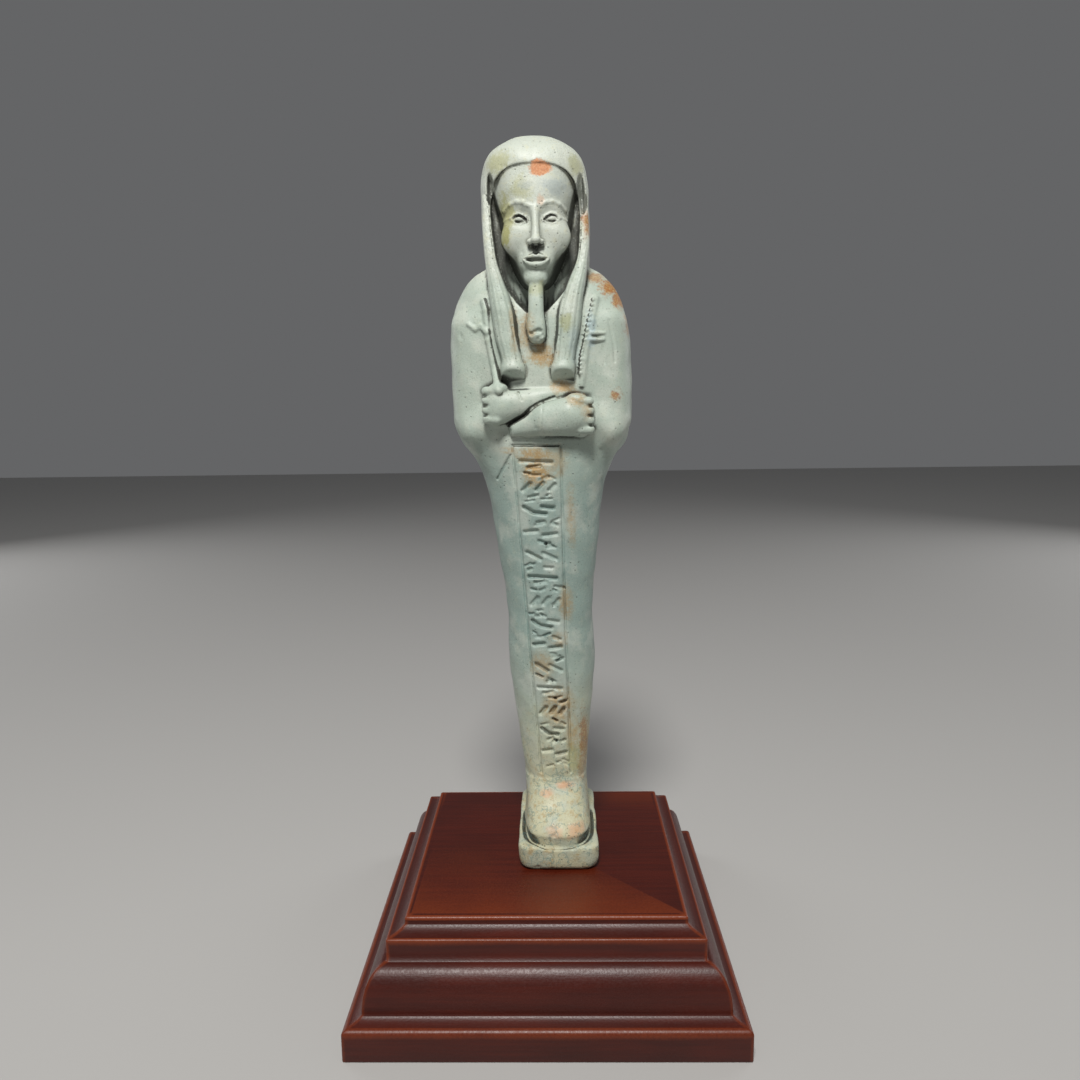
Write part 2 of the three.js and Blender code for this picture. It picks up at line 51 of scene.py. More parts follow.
def profile(rows):
    # rows of height and values, joined by a smooth curve through every row
    rows = np.array(rows, float)
    heights, values = rows[:, 0], rows[:, 1:]
    gaps = np.diff(heights)[:, None]
    slopes = np.diff(values, axis=0) / gaps
    tangents = np.vstack([slopes[:1], (slopes[1:] + slopes[:-1]) / 2, slopes[-1:]])
    fine = np.linspace(heights[0], heights[-1], 600)
    row = np.clip(np.searchsorted(heights, fine, side="right") - 1, 0, len(gaps) - 1)
    t = ((fine - heights[row]) / gaps[row, 0])[:, None]
    table = ((1 + 2 * t) * (1 - t) ** 2 * values[row] + t * (1 - t) ** 2 * gaps[row] * tangents[row]
             + t * t * (3 - 2 * t) * values[row + 1] - t * t * (1 - t) * gaps[row] * tangents[row + 1])
    return lambda at: [np.interp(at, fine, column) for column in table.T]


def softMin(a, b, soft):
    if soft == 0:
        return np.minimum(a, b)
    share = np.clip(0.5 + 0.5 * (b - a) / soft, 0, 1)
    return b + (a - b) * share - soft * share * (1 - share)


def softMax(a, b, soft):
    return -softMin(-a, -b, soft)


def fade(edge0, edge1, value):
    t = np.clip((value - edge0) / (edge1 - edge0), 0, 1)
    return t * t * (3 - 2 * t)


class Shape:
    # a distance and the box it matters in
    def __init__(self, low, high, distance):
        self.low, self.high, self.distance = low, high, distance


def tower(rows, roundness, endSoft=0.0):
    # a stack of ovals: height, half width, reach to the front, reach to the back
    curve = profile(rows)
    bottom, top = rows[0][0], rows[-1][0]
    half, front, back = (max(row[column] for row in rows) for column in (1, 2, 3))

    def distance(x, y, z):
        halfAt, frontAt, backAt = curve(z)
        reach = np.where(y < 0, frontAt, backAt)
        across, along = np.abs(x) / halfAt, np.abs(y) / reach
        level = np.maximum((across ** roundness + along ** roundness) ** (1 / roundness), 0.3)
        slope = np.hypot(across ** (roundness - 1) / halfAt, along ** (roundness - 1) / reach)
        side = (level - 1) / np.maximum(slope * level ** (1 - roundness), 1e-3)
        return softMax(side, np.maximum(bottom - z, z - top), endSoft)
    return Shape((-half, -front, bottom), (half, back, top), distance)


def band(rows, corner, endSoft=0.0, side=1):
    # a stack of round-cornered boxes: height, inner edge, outer edge, reach to the front, end behind
    curve = profile(rows)
    bottom, top = rows[0][0], rows[-1][0]
    edges = [side * row[column] for row in rows for column in (1, 2)]
    front, back = max(row[3] for row in rows), max(-row[4] for row in rows)

    def distance(x, y, z):
        inner, outer, frontAt, behind = curve(z)
        rounding = np.minimum(corner, 0.45 * (outer - inner))
        dx = np.abs(side * x - (inner + outer) / 2) - (outer - inner) / 2 + rounding
        dy = np.abs(y + (frontAt + behind) / 2) - (frontAt - behind) / 2 + rounding
        flank = np.hypot(np.maximum(dx, 0), np.maximum(dy, 0)) + np.minimum(np.maximum(dx, dy), 0) - rounding
        return softMax(flank, np.maximum(bottom - z, z - top), endSoft)
    return Shape((min(edges), -front, bottom), (max(edges), back, top), distance)


def ball(centre, radii, turn=0.0):
    # an ellipsoid, tipped in the front view by turn degrees
    cosTurn, sinTurn = math.cos(math.radians(turn)), math.sin(math.radians(turn))
    reach = max(radii) if turn else radii

    def distance(x, y, z):
        dx, dy, dz = x - centre[0], y - centre[1], z - centre[2]
        if turn:
            dx, dz = dx * cosTurn + dz * sinTurn, dz * cosTurn - dx * sinTurn
        dx, dy, dz = dx / radii[0], dy / radii[1], dz / radii[2]
        outward = np.sqrt(dx * dx + dy * dy + dz * dz)
        slope = np.sqrt((dx / radii[0]) ** 2 + (dy / radii[1]) ** 2 + (dz / radii[2]) ** 2)
        return outward * (outward - 1) / np.maximum(slope, 1e-4)
    return Shape(np.array(centre) - reach, np.array(centre) + reach, distance)


def bar(start, end, radius, endRadius=None, flat=1.0):
    # a round-ended bar, thicker at one end if asked, and flattened front to back
    endRadius = radius if endRadius is None else endRadius
    a, b = np.array(start, float), np.array(end, float)
    a[1], b[1] = a[1] / flat, b[1] / flat
    along = b - a

    def distance(x, y, z):
        px, py, pz = x - a[0], y / flat - a[1], z - a[2]
        share = np.clip((px * along[0] + py * along[1] + pz * along[2]) / (along @ along), 0, 1)
        px, py, pz = px - share * along[0], py - share * along[1], pz - share * along[2]
        return (np.sqrt(px * px + py * py + pz * pz) - radius - share * (endRadius - radius)) * flat
    reach = max(radius, endRadius)
    return Shape(np.minimum(start, end) - reach, np.maximum(start, end) + reach, distance)


def scratch(chain, halfWidth, depth, behind=-2.0):
    # a line pressed into the front along a chain of x and z
    points = np.array(chain, float)
    low, high = points.min(0) - halfWidth, points.max(0) + halfWidth

    def pressed(x, y, z):
        nearest = np.full(x.shape, 1e6)
        for (ax, az), (bx, bz) in zip(points[:-1], points[1:]):
            ux, uz = bx - ax, bz - az
            share = np.clip(((x - ax) * ux + (z - az) * uz) / (ux * ux + uz * uz), 0, 1)
            nearest = np.minimum(nearest, np.hypot(x - ax - share * ux, z - az - share * uz))
        t = np.clip(nearest / halfWidth, 0, 1)
        return depth * (1 - t * t) ** 2
    return Shape((low[0], -20, low[1]), (high[0], behind, high[1]), pressed)


class Clay:
    # a lump built up step by step, then turned into a mesh
    def __init__(self):
        self.steps = []

    def add(self, shape, soft=0.0):
        self.steps.append(("add", shape, soft))

    def cut(self, shape, soft=0.0):
        self.steps.append(("cut", shape, soft))

    def press(self, shape):
        self.steps.append(("press", shape, 0.0))

    def field(self, x, y, z):
        total = np.full(x.shape, 6.0)
        for kind, shape, soft in self.steps:
            margin = soft + 1.2 if kind != "press" else 0.0
            if z.max() < shape.low[2] - margin or z.min() > shape.high[2] + margin:
                continue
            near = np.flatnonzero((x > shape.low[0] - margin) & (x < shape.high[0] + margin)
                                  & (y > shape.low[1] - margin) & (y < shape.high[1] + margin)
                                  & (z > shape.low[2] - margin) & (z < shape.high[2] + margin))
            if not len(near):
                continue
            value = shape.distance(x[near], y[near], z[near])
            if kind == "add":
                total[near] = softMin(total[near], value, soft)
            elif kind == "cut":
                total[near] = softMax(total[near], -value, soft)
            else:
                total[near] += value
        return total

    def drape(self, chain):
        # points of x and z laid on the front of the lump
        x, z = np.array(chain, float).T
        y = np.full(x.shape, -20.0)
        for step in range(60):
            y += np.clip(self.field(x, y, z) * 0.8, -0.9, 0.9)
        return np.stack([x, y, z], 1)

    def ridge(self, chain, radius, proud, soft=0.2):
        # a raised line along the front
        points = self.drape(chain) + (0, radius - proud, 0)
        for a, b in zip(points[:-1], points[1:]):
            self.add(bar(a, b, radius), soft)

    def layers(self, points):
        # the field at loose points, worked out in slices by height
        order = np.argsort(points[:, 2], kind="stable")
        result = np.empty(len(points))
        for part in np.array_split(order, max(1, len(points) // 30000)):
            result[part] = self.field(*points[part].T)
        return result

    def slope(self, points, step=0.05):
        columns = []
        for axis in range(3):
            shift = np.zeros(3)
            shift[axis] = step
            columns.append((self.layers(points + shift) - self.layers(points - shift)) / (2 * step))
        return np.stack(columns, 1)

    def surface(self, low, high, spacing, block=8):
        # only the blocks that the surface may cross are worked out finely
        low, high = np.array(low, float), np.array(high, float)
        blocks = np.ceil((high - low) / (spacing * block)).astype(int)
        size = spacing * block
        grid = np.full(tuple(blocks * block), 6.0, np.float32)
        inner = np.stack(np.meshgrid(*[np.arange(block) * spacing] * 3, indexing="ij"), -1).reshape(-1, 3)

        def fill(place, value):
            i, j, k = place * block
            grid[i:i + block, j:j + block, k:k + block] = value
        for level in range(blocks[2]):
            spots = np.stack(np.meshgrid(np.arange(blocks[0]), np.arange(blocks[1]), indexing="ij"), -1)
            spots = np.column_stack([spots.reshape(-1, 2), np.full(blocks[0] * blocks[1], level)])
            middles = low + (spots + 0.5) * size
            rough = self.field(*middles.T)
            busy = np.abs(rough) < size * 1.9
            for place, value in zip(spots[~busy], rough[~busy]):
                fill(place, value)
            if not busy.any():
                continue
            points = (low + spots[busy][:, None] * size + inner[None]).reshape(-1, 3)
            values = self.field(*points.T).reshape(-1, block, block, block)
            for place, value in zip(spots[busy], values):
                fill(place, value)
        return netSurface(grid, low, spacing)


def netSurface(grid, low, spacing):
    # one vertex in each cell that the surface crosses, one quad for each grid edge that it cuts
    shape = np.array(grid.shape)
    strides = np.array([shape[1] * shape[2], shape[2], 1])
    flat = grid.ravel()
    cells, crossings, quads = [], [], []
    for axis in range(3):
        others = [a for a in range(3) if a != axis]
        first = [slice(1, -1)] * 3
        second = [slice(1, -1)] * 3
        first[axis], second[axis] = slice(0, -1), slice(1, None)
        a, b = grid[tuple(first)] < 0, grid[tuple(second)] < 0
        where = np.argwhere(a != b)
        for other in others:
            where[:, other] += 1
        start = where @ strides
        end = start + strides[axis]
        share = flat[start] / (flat[start] - flat[end])
        place = where.astype(float)
        place[:, axis] += share
        around = [start, start - strides[others[0]], start - strides[others[0]] - strides[others[1]],
                  start - strides[others[1]]]
        loop = np.stack(around, 1)
        turned = (flat[start] < 0) ^ (axis == 1)
        loop[~turned] = loop[~turned][:, ::-1]
        quads.append(loop)
        for cell in around:
            cells.append(cell)
            crossings.append(place)
    cells = np.concatenate(cells)
    crossings = np.concatenate(crossings)
    names, inverse = np.unique(cells, return_inverse=True)
    count = np.bincount(inverse)
    verts = np.stack([np.bincount(inverse, crossings[:, a]) / count for a in range(3)], 1) * spacing + low
    faces = np.searchsorted(names, np.concatenate(quads))
    return verts, faces


# ---- the ushabti ----

ushabti = dict(
    standsAtX=2.9, standsAtY=4.0, leanPerMm=-0.0255, turn=-3.0, turnFrom=(20, 70), turnBack=(128, 142),
    blockHeight=6.0, blockDepth=32.0, blockTopHalf=9.4, blockBottomHalf=8.3, blockCorner=2.7,
    pillarTop=131.0, pillarBack=14.3, pillarHalfBottom=4.8, pillarHalfTop=5.5,
    spacing=0.27, triangles=192000,
)

bodyRows = [
    (3, 6.9, 6.6, 8.8), (16, 7.3, 7.0, 9.6), (31, 8.7, 7.5, 10.0), (47.7, 10.4, 8.7, 10.5),
    (57.7, 10.1, 8.9, 10.1), (65, 10.6, 9.0, 10.5), (74, 11.8, 9.3, 11.4), (85, 13.1, 9.8, 12.3),
    (91, 14.5, 10.1, 12.0), (95, 16.4, 10.3, 11.7), (98.6, 19.0, 10.5, 11.5), (103, 20.1, 10.6, 11.6),
    (116, 20.6, 10.5, 12.0), (124, 20.15, 10.2, 11.8), (129.7, 18.7, 8.8, 10.8), (133.2, 16.7, 6.8, 9.2),
    (136, 13.9, 4.2, 7.4), (138.5, 9.3, 1.5, 5.5),
]
bodyRoundness = 2.3
bodyCurve = profile(bodyRows)
feetRows = [(5, 7.9, 15.2, 2), (8, 8.0, 15.3, 2), (10, 7.7, 13.9, 2), (13, 7.35, 10.6, 2), (18, 6.9, 6.7, 2)]
feetRoundness = 3.4


def bodyFront(x, z):
    half, front, back = bodyCurve(z)
    return -front * (1 - abs(x / half) ** bodyRoundness) ** (1 / bodyRoundness)


def footGroove():
    # the line pressed in where the feet meet their block
    feet = tower(feetRows, feetRoundness).distance

    def pressed(x, y, z):
        far = feet(x, y, np.maximum(z, 7))
        return 0.55 * np.exp(-(far / 0.45) ** 2) * fade(4.4, 5.6, z) * fade(8.2, 6.8, z)
    return Shape((-10, -16.5, 4.4), (10, 2, 8.2), pressed)


def shapeTrunk(clay):
    reach, top = ushabti["blockDepth"] / 2, ushabti["blockTopHalf"]
    bottom, height = ushabti["blockBottomHalf"], ushabti["blockHeight"]
    clay.add(tower(bodyRows, bodyRoundness, 1.0))
    clay.add(tower(feetRows, feetRoundness), 1.2)
    blockRows = [(0, -bottom, bottom, reach - 0.5, 0.4 - reach),
                 (1, -bottom - 0.6, bottom + 0.6, reach - 0.1, -reach),
                 (height - 0.8, -top, top, reach, -reach), (height, -top, top, reach, -reach)]
    clay.add(band(blockRows, ushabti["blockCorner"], 1.1), 0.25)
    clay.press(footGroove())
    low, high = ushabti["pillarHalfBottom"], ushabti["pillarHalfTop"]
    clay.add(band([(1, -low, low, -4, -ushabti["pillarBack"]),
                   (ushabti["pillarTop"], -high, high, -4, -ushabti["pillarBack"])], 0.5, 0.6), 0.6)
    for side in (-1, 1):     # the forearms and upper arms under the cloth
        clay.add(bar((side * 14.6, -6.0, 101.5), (side * 10.5, -7.6, 104), 4.0, 3.4), 2.0)
        clay.add(bar((side * 15.0, -3.6, 124), (side * 15.2, -3.9, 104), 4.6, 4.9), 1.5)


hair = dict(
    strandDepth=0.24, strands=5, hairlineTop=157.2, spring=147.0, archRoundness=3.0, openingHalf=9.7,
    sideBottom=143.0, openingPoint=125.5, openingFloor=4.0, capStrandDepth=0.06, capStrands=34,
)
capRows = [
    (127.5, 10.2, 5.0, 13.4), (133, 11.1, 7.4, 13.9), (139, 11.8, 8.4, 14.0), (148, 12.1, 9.6, 14.0),
    (156, 11.8, 10.6, 13.6), (159.3, 11.0, 10.0, 12.6), (161.6, 9.4, 8.5, 10.8), (163.2, 7.3, 6.4, 8.4),
    (164.5, 4.6, 3.9, 5.2), (165.1, 1.9, 1.6, 2.2),
]
lappetRows = [
    (110.5, 3.0, 7.9, 12.9, 7), (113, 2.8, 8.05, 13.2, 7), (115, 2.8, 8.1, 13.3, 7),
    (116.3, 3.3, 8.0, 12.8, 7), (121, 3.9, 9.0, 12.4, 6), (127, 4.7, 9.9, 11.8, 4), (131, 6.0, 10.3, 10.9, 2),
    (137, 8.3, 11.1, 9.4, 0), (144, 9.3, 11.5, 7.8, -1), (152, 9.7, 11.4, 6.2, -2),
]
templeHollows = [((-9.6, -7.2, 152.8), (0.9, 2.6, 3.4)), ((10.3, -6.9, 151.8), (1.2, 3.0, 4.4))]
foreheadRows = [
    (148, 8.6, 10.9, 2), (152, 9.5, 10.95, 2), (154.5, 10.0, 10.5, 2), (157, 10.2, 10.1, 2),
    (159, 9.8, 9.5, 2),
]


def opening():
    # the gap in the wig that frames the face and runs down to a point on the chest
    half, point, top, spring = (hair[key] for key in ("openingHalf", "openingPoint", "hairlineTop", "spring"))
    power = hair["archRoundness"]
    t = np.linspace(0, 1, 30)
    heights = (1 - t) ** 2 * point + 2 * t * (1 - t) * (point + 4) + t ** 2 * hair["sideBottom"]
    widths = 2 * t * (1 - t) * half * 0.78 + t ** 2 * half

    def distance(x, y, z):
        across, up = np.abs(x) / half, np.maximum(z - spring, 0) / (top - spring)
        level = np.maximum((across ** power + up ** power) ** (1 / power), 0.2)
        slope = np.hypot(across ** (power - 1) / half, up ** (power - 1) / (top - spring))
        arch = (level - 1) / np.maximum(slope * level ** (1 - power), 1e-3)
        lower = (np.abs(x) - np.interp(z, heights, widths)) * 0.85
        outline = np.where(z > spring, arch, np.maximum(lower, point - z))
        return np.maximum(outline, y + hair["openingFloor"])
    return Shape((-half, -16, point), (half, -hair["openingFloor"], top), distance)


def wigStrands():
    def pressed(x, y, z):
        angle = np.arctan2(x, -(y - 2))
        wave = np.abs(np.sin(angle * hair["capStrands"] / 2)) ** 0.5
        return hair["capStrandDepth"] * (1 - wave) * fade(164.5, 160, z)
    return Shape((-13, -13, 128), (13, 15, 166), pressed)


def lappetStrands(side):
    curve = profile(lappetRows)

    def pressed(x, y, z):
        inner, outer, front, behind = curve(z)
        across = np.clip((side * x - inner) / (outer - inner), 0, 1)
        wave = np.abs(np.sin(math.pi * across * hair["strands"])) ** 0.5
        face = fade(3.0, 1.5, y + front) * fade(0, 0.08, across) * fade(1, 0.92, across)
        return hair["strandDepth"] * (1 - wave) * face * fade(116.0, 117.0, z)
    low, high = sorted((side * 3.0, side * 12.4))
    return Shape((low, -14, 115), (high, 0, 152), pressed)


def lappet(side):
    # the band of hair, its end cut off aslant so that the cut faces down
    whole = band(lappetRows, 2.3, 0.2, side)

    def distance(x, y, z):
        end = -0.64 * (y + 13.2) - 0.77 * (z - 114.3)
        return softMax(whole.distance(x, y, z), end, 0.3)
    return Shape(whole.low, whole.high, distance)


def shapeHair(clay):
    clay.add(tower(capRows, 2.25, 0.5), 0.3)
    clay.cut(opening(), 0.35)
    clay.add(tower([(124, 4.6, 4.4, 4), (129, 4.4, 4.6, 4), (136, 4.6, 5.2, 4), (142, 5, 5.6, 4)], 2.0), 0.5)
    clay.press(wigStrands())
    for side in (-1, 1):
        clay.add(lappet(side), 0.2)
        clay.press(lappetStrands(side))
    for centre, radii in templeHollows:
        clay.cut(ball(centre, radii), 0.3)


face = dict(half=8.4, front=11.3, chin=132.0, hairline=156.0)
face["third"] = (face["hairline"] - face["chin"]) / 3
face["noseFoot"] = face["chin"] + face["third"]
face["brow"] = face["chin"] + 2 * face["third"]
face["eye"] = face["brow"] - 0.25 * face["third"]
face["mouth"] = face["noseFoot"] - face["third"] / 3
face["eyeWidth"] = 2 * face["half"] / 5
faceRows = [
    (face["chin"] - 0.3, 1.8, face["front"] - 1.9, 2), (face["chin"] + 0.7, 3.2, face["front"] - 0.5, 2),
    (face["chin"] + 3, 4.9, face["front"] - 0.4, 2), (face["mouth"] + 1.5, 6.5, face["front"] - 0.1, 2),
    (face["noseFoot"] + 3, 7.8, face["front"], 2), (face["eye"], face["half"], face["front"] - 0.1, 2),
    (face["brow"] + 4, 9.3, face["front"] - 0.3, 2), (hair["hairlineTop"] + 1, 8.6, face["front"] - 1.4, 2),
]


def shapeEye(clay, side):
    # socket, ball, lids, the painter's line and the brow, as offsets from the middle of the eye
    x, z = side * face["eyeWidth"], face["eye"]

    def along(*offsets):
        return [(x + side * across, z + up) for across, up in offsets]
    clay.cut(ball((x + side * 0.1, -12.3, z + 0.3), (2.6, 2.2, 1.9)), 1.3)
    clay.add(ball((x, -8.95, z), (1.75, 1.5, 1.05)), 0.2)
    clay.ridge(along((-1.75, -0.45), (-1.1, 0.5), (-0.1, 1.05), (0.9, 0.9), (1.8, 0.1)), 0.36, 0.3, 0.1)
    clay.ridge(along((-1.5, -0.6), (-0.8, -1.0), (0.1, -1.12), (1.0, -0.85), (1.7, -0.1)), 0.27, 0.16, 0.12)
    clay.press(scratch(along((-1.5, -0.35), (-0.9, 0.2), (0, 0.6), (0.8, 0.5), (1.55, 0)), 0.3, 0.3, -6))
    clay.press(scratch(along((-1.2, -0.5), (-0.5, -0.68), (0.2, -0.74), (0.9, -0.55)), 0.26, 0.2, -6))
    clay.ridge(along((1.75, 0.12), (2.7, 0.05), (3.5, -0.05)), 0.24, 0.1, 0.2)
    clay.ridge(along((-2.1, 2.4), (-1.0, 3.1), (0.4, 3.35), (1.9, 2.95), (3.2, 1.9)), 0.42, 0.2, 0.35)


def shapeFace(clay):
    clay.add(tower(faceRows, 2.2, 0.3), 0.3)
    clay.add(tower(foreheadRows, 2.3, 0.3), 0.4)
    clay.add(ball((0, -9.7, face["mouth"]), (3.6, 2.2, 2.8)), 1.6)
    clay.add(ball((0, -9.9, face["chin"] + 1.6), (2.4, 1.7, 1.7)), 1.2)
    for side in (-1, 1):
        clay.add(ball((side * 4.6, -7.9, face["noseFoot"] + 2.2), (3.0, 2.4, 3.4)), 2.0)
        shapeEye(clay, side)
    foot, mouth = face["noseFoot"], face["mouth"]
    clay.add(bar((0, -10.7, face["brow"] + 0.2), (0, -12.5, foot + 1.4), 0.75, 1.05), 0.8)
    clay.add(ball((0, -12.9, foot + 1.1), (1.1, 1.15, 0.95)), 0.45)
    for side in (-1, 1):
        clay.add(ball((side * 1.2, -11.9, foot + 0.9), (0.8, 1.15, 0.75)), 0.3)
        clay.cut(ball((side * 0.6, -12.6, foot + 0.1), (0.33, 0.5, 0.35)), 0.2)
    clay.ridge([(-2.4, mouth + 0.1), (-1.4, mouth + 0.5), (-0.5, mouth + 0.75), (0, mouth + 0.62),
                (0.5, mouth + 0.75), (1.4, mouth + 0.5), (2.4, mouth + 0.1)], 0.58, 0.5, 0.2)
    clay.ridge([(-1.9, mouth - 0.5), (-1.0, mouth - 0.95), (0, mouth - 1.1), (1.0, mouth - 0.95),
                (1.9, mouth - 0.5)], 0.66, 0.55, 0.2)
    clay.press(scratch([(-2.5, mouth + 0.15), (-1.2, mouth - 0.1), (0, mouth - 0.02), (1.2, mouth - 0.1),
                        (2.5, mouth + 0.15)], 0.36, 0.3))
    clay.press(scratch([(0, mouth + 1.3), (0, foot + 0.1)], 0.55, 0.22))
    # the false beard
    clay.add(band([(119.8, -1.2, 1.2, 12.2, 8), (121, -1.9, 1.9, 12.9, 8), (127, -1.7, 1.7, 12.6, 7),
                   (133, -1.5, 1.5, 11.2, 5)], 1.1, 0.5), 0.3)


fists = [dict(side=-1, x=9.5, z=106.8), dict(side=1, x=8.9, z=104.4)]
hands = dict(y=10.9, fingers=4, fingerPitch=2.05, toolRadius=0.8, beads=17, beadRadius=0.52)


def shapeFist(clay, side, x, z):
    y = hands["y"]
    clay.add(ball((side * x, -y, z), (3.0, 2.6, 4.7)), 0.5)
    for finger in range(hands["fingers"]):
        level = z + (finger - (hands["fingers"] - 1) / 2) * hands["fingerPitch"]
        knuckle, tip = (side * (x - 0.2), -y - 1.6, level), (side * (x + 2.0), -y - 1.1, level)
        clay.add(bar(knuckle, tip, 0.95, 1.05), 0.3)
        if finger:
            gap = level - hands["fingerPitch"] / 2
            start, end = (side * (x + 1.5), -y - 2.5, gap), (side * (x + 3.0), -y - 0.9, gap)
            clay.cut(bar(start, end, 0.3, 0.38), 0.2)
    clay.add(ball((side * (x - 1.0), -y - 1.0, z + 3.8), (1.7, 1.4, 1.1)), 0.8)


def shapeHands(clay):
    armBehind = [((-8.4, -10.8, 106.4), 3.7), ((4.6, -9.6, 108.9), 2.0)]
    armInFront = [((-6.0, -10.5, 101.5), 1.6), ((1.5, -11.1, 103.7), 3.8), ((6.5, -11.3, 104.2), 4.3)]
    for chain, soft in ((armBehind, 0.4), (armInFront, 0.25)):
        for (start, radius), (end, endRadius) in zip(chain[:-1], chain[1:]):
            clay.add(bar(start, end, radius, endRadius, 0.8), soft)
    for fist in fists:
        shapeFist(clay, **fist)
    # the crease where the arms cross, the cuff, and the hollow below the first fist
    crossing = [(-7.1, 102.6), (-5.8, 103.3), (-3.5, 104.5), (-1.7, 106.2), (0.5, 107.4), (3.3, 108.4)]
    clay.press(scratch(crossing, 0.6, 0.25, -8))
    clay.press(scratch([(0.9, 107.4), (0.6, 104), (0.4, 100.8)], 0.3, 0.14, -8))
    clay.press(scratch([(-4.5, 109.6), (-3.9, 108.0)], 0.4, 0.3, -8))
    clay.cut(ball((-8.2, -11.6, 101.2), (1.7, 1.7, 1.4)), 0.9)


def shapeTools(clay):
    thick = hands["toolRadius"]
    # the hoe: its handle and its hooked blade
    clay.ridge([(-11.7, 129.4), (-11.1, 127.3), (-10.8, 120.9), (-9.55, 114.5), (-8.6, 109.9)],
               thick, 0.6, 0.3)
    clay.ridge([(-11.0, 122.6), (-12.4, 124.0), (-13.7, 123.3), (-15.2, 124.5)], thick * 0.8, 0.4, 0.3)
    # the second tool with its blade, and the plaited cord of the seed bag beside it
    clay.ridge([(12.9, 129.6), (11.9, 124.8), (10.9, 120.6), (10.0, 116.5), (9.3, 111.0)], thick, 0.35, 0.4)
    clay.ridge([(11.7, 122.1), (14.5, 122.1)], 0.42, 0.3, 0.2)
    clay.ridge([(11.6, 120.7), (14.4, 120.7)], 0.42, 0.3, 0.2)
    cord = np.array([(12.3, 129.3), (11.3, 124.8), (10.3, 120.6), (9.5, 117.5), (9.0, 113.6)])
    spread = np.linspace(0, len(cord) - 1, hands["beads"])
    beads = [np.interp(spread, range(len(cord)), column) for column in cord.T]
    for x, y, z in clay.drape(np.transpose(beads)):
        clay.add(ball((x, y + 0.12, z), (hands["beadRadius"], hands["beadRadius"], 0.44), 30), 0.12)
    clay.press(scratch([(15.6, 124.9), (16.6, 119.5), (16.7, 115.9)], 0.4, 0.2))
    clay.press(scratch([(14.0, 119.3), (14.4, 115.6)], 0.3, 0.12))
    clay.press(scratch([(-7.0, 95.8), (-8.6, 93.2), (-10.4, 90.4)], 0.45, 0.4))


column = dict(
    bottom=20.0, top=98.0, halfBottom=3.5, halfTop=5.4, aslant=-1.1, rows=14, halfWidth=0.72, depth=0.68,
    frameHalfWidth=0.45, frameDepth=0.4, headRoom=4, ticks=4,
)
# plain strokes that take turns down the column and spell nothing: shares of its half width, and heights
marks = [
    [[(-0.7, 0.5), (0.6, 0.2)], [(-0.4, -0.9), (0.1, -0.6)]],
    [[(-0.7, -0.8), (-0.35, 0.8)], [(-0.1, -0.6), (0.2, 0.9)], [(0.45, -0.8), (0.7, 0.5)]],
    [[(-0.7, 0.7), (-0.3, -0.5), (0.25, -0.8)], [(0.1, 0.8), (0.6, 0.5)]],
    [[(-0.75, 0.3), (-0.2, 0.6)], [(0.1, -0.5), (0.7, -0.1)]],
    [[(-0.7, 0.9), (-0.1, -0.7)], [(0.05, 0.7), (0.65, -0.6)]],
]


def shapeColumn(clay):
    bottom, top = column["bottom"], column["top"]
    random = np.random.default_rng(12)

    def place(share, z):
        height = (z - bottom) / (top - bottom)
        half = column["halfBottom"] + (column["halfTop"] - column["halfBottom"]) * height
        return column["aslant"] * height + share * half, z

    def line(chain, depth=column["depth"], halfWidth=column["halfWidth"]):
        clay.press(scratch([place(*point) for point in chain], halfWidth, depth))
    middle = (bottom + top) / 2
    line([(-1, bottom), (-1, middle), (-1, top), (1, top), (1, middle), (1, bottom)],
         column["frameDepth"], column["frameHalfWidth"])
    pitch = (top - bottom - column["headRoom"]) / column["rows"]
    for row in range(column["rows"]):
        z = top - column["headRoom"] - row * pitch
        for chain in marks[row % len(marks)]:
            line([(share, z + up) for share, up in chain], column["depth"] * random.uniform(0.75, 1.15))
        for tick in range(column["ticks"]):     # small strokes between the rows
            share, drop = random.uniform(-0.75, 0.75), pitch * random.uniform(0.34, 0.66)
            angle, length = random.uniform(-0.8, 0.8), random.uniform(0.4, 1.3)
            aside = length * math.cos(angle) / column["halfTop"]
            line([(share - aside, z - drop - length * math.sin(angle) / 2),
                  (share + aside, z - drop + length * math.sin(angle) / 2)],
                 random.uniform(0.3, 0.55), random.uniform(0.4, 0.65))


wear = dict(
    undulation=0.1, chips=90, chipSmall=0.35, chipLarge=1.0,
    grainWaves=((1.3, 0.035), (2.6, 0.05), (6.0, 0.06)),
    pits=420, pitSmall=0.3, pitLarge=0.75, pitDepth=0.16,
)


def wearAway(clay):
    # slow waves left by the mould, and chips along the edges that stand out
    def waves(x, y, z):
        slow = np.sin(0.61 * x + 0.33 * z + 1.3) * np.sin(0.53 * y - 0.41 * z + 0.4)
        return wear["undulation"] * slow * fade(0.0, 2.0, z)
    clay.press(Shape((-30, -30, 0), (30, 30, 170), waves))
    random = np.random.default_rng(5)
    reach, half = ushabti["blockDepth"] / 2, ushabti["blockTopHalf"]
    for chip in range(wear["chips"]):
        radius = random.uniform(wear["chipSmall"], wear["chipLarge"])
        where = chip % 4
        if where == 0:
            flank = random.choice((-1, 1)) * (half + 0.4)
            centre = (flank, random.uniform(-reach, reach), random.uniform(0.4, 6.2))
        elif where == 1:
            rim = random.choice((0.5, 6.0)) + random.uniform(-0.3, 0.3)
            centre = (random.uniform(-half, half), -reach - 0.35, rim)
        elif where == 2:
            radius *= 0.75
            centre = (random.uniform(-2.2, 2.2), -13.1, random.uniform(119.8, 130.6))
        else:
            radius *= 0.6
            x, z = random.uniform(-8, 8), random.uniform(7.5, 11)
            centre = (x, -15.5 + (z - 7.5) * 0.6, z + 0.5)
        clay.cut(ball(centre, (radius, radius * 0.8, radius * 0.7), random.uniform(-40, 40)), 0.3)


